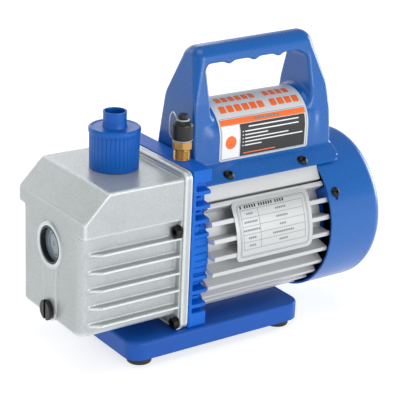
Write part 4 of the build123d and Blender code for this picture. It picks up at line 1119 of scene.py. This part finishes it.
def make_label():
    low, high = box_mm("handle_label")
    left, right = low.x, high.x
    flat = saddle_z - low.z
    arc = saddle_radius * radians(1)
    film, ink, over = (0.02, 0.3), (0.28, 0.36), (0.34, 0.4)

    def shapes(spans, corner, heights):
        return [plate_shape(u, v, corner, heights, wrap_label) for u, v in spans]

    sheet = plate_shape((left, right), (0, flat + arc * 117.5), 2.0, film, wrap_label)
    add_piece("handle_label_film", sheet, "film", "pump", ["handle_label"])
    field_u, field_v = (left + 19.3, right - 3.3), (1.9, flat + arc * 23.4)
    add_print("label_black_field", shapes([(field_u, field_v)], 0.4, ink), "black_ink")
    white = ((left + 2.6, left + 18.3), field_v)
    add_print("label_white_field", shapes([white], 0.4, ink), "white_ink")
    band = ((left + 1.6, right - 2.2), (flat + arc * 24.4, flat + arc * 34.4))
    title = blocks((left + 5.5, right - 4.0), (flat + arc * 46, flat + arc * 60), (6, 4), 1.3, 6.0)
    title += blocks((left + 7.5, right - 8.0), (flat + arc * 69, flat + arc * 83), (6, 4), 1.5, 9.0)
    disc = ((left + 5.2, left + 15.6), (field_v[0] + 7.0, field_v[0] + 17.4))
    line = ((field_u[0] + 3, field_u[0] + 34), (field_v[0] + 1.6, field_v[0] + 2.5))
    orange = shapes([band], 0.3, ink) + shapes(title, 0.9, ink) + shapes([disc], 6, over)
    add_print("label_orange_print", orange + shapes([line], 0.3, over), "orange_ink")
    rules = [((field_u[0] + 8, field_u[1] - 6), (field_v[1] - 3.0, field_v[1] - 2.1))]
    for row, length in enumerate((52, 22, 42, 56, 16)):
        top = field_v[1] - 5.4 - 2.75 * row
        for start, width in ((2.0, 1.0), (4.2, length)):
            rules.append(((field_u[0] + start, field_u[0] + start + width), (top - 0.9, top)))
    add_print("label_white_rules", shapes(rules, 0.3, over), "white_ink")
    edge = frame_shape((left + 1.4, right - 1.4), (1.2, flat + arc * 36.5), 1.0, 0.35, ink, wrap_label)
    dark = blocks((left + 34, left + 58), (flat + arc * 27.4, flat + arc * 31.4), (7,), 0.9, 0)
    add_print("label_fine_print", [edge] + shapes(dark, 0.3, over), "grey_ink")


def make_nameplate():
    low, high = box_mm("nameplate")
    plate, ink = (0.02, 0.62), (0.6, 0.68)
    spans = (-7.4 * nameplate_arc, 37.4 * nameplate_arc)
    sheet = plate_shape((low.x, high.x), spans, 4.5, plate, wrap_nameplate)
    add_piece("nameplate_sheet", sheet, "plate", "pump", ["nameplate"])

    def shapes(spans, corner):
        return [plate_shape(u, v, corner, ink, wrap_nameplate) for u, v in spans]

    u, v = (low.x + 3.2, high.x - 3.2), (spans[0] + 3.0, spans[1] - 3.0)
    inner = [(side[0] + 1.1, side[1] - 1.1) for side in (u, v)]
    frames = [frame_shape(u, v, 3.2, 0.42, ink, wrap_nameplate),
              frame_shape(*inner, 2.4, 0.25, ink, wrap_nameplate)]
    left, right, divider = u[0] + 3.0, u[1] - 4.0, 16.2
    levels = [angle * nameplate_arc for angle in (30.2, 24.2, 18.2, 12.4, 6.8, 1.2)]
    half_rule = 0.16
    rules = [((left, right), (level - half_rule, level + half_rule)) for level in levels]
    rules += [((at - half_rule, at + half_rule), (levels[-1], levels[0]))
              for at in (divider, left, right)]
    add_print("nameplate_rules", frames + shapes(rules, 0.05), "grey_ink")
    heading_v = (31.3 * nameplate_arc, 33.7 * nameplate_arc)
    heading = blocks((left + 0.5, left + 42), heading_v, (1, 5, 6, 4), 0.95, 2.6)
    add_print("nameplate_heading", shapes(heading, 0.3), "black_ink")
    entries = []
    for row, widths in enumerate(((6, 10), (12, 11), (15, 6), (7, 20), (6, 8))):
        middle = (levels[row] + levels[row + 1]) / 2
        for centre, width in zip(((left + divider) / 2, (divider + right) / 2), widths):
            entries += blocks((centre - width / 2, centre + width / 2), (middle - 0.75, middle + 0.75),
                              (max(2, round(width / 1.6)),), 0.5, 0)
    add_print("nameplate_entries", shapes(entries, 0.2), "grey_ink")


make_camera()
make_lights()
make_backdrop()
materials = make_materials()
dress_frame()
add_casting("cast_oil_case", case_field, 1.15, "case", "oil_case")
add_casting("ribbed_bracket", bracket_field, 0.8, "bracket", "motor_bracket")
add_casting("handle_moulding", handle_field, 1.2, "plastic", "handle")
make_screws()
make_exhaust_cap()
make_inlet()
make_tether()
make_front_fittings()
make_label()
make_nameplate()
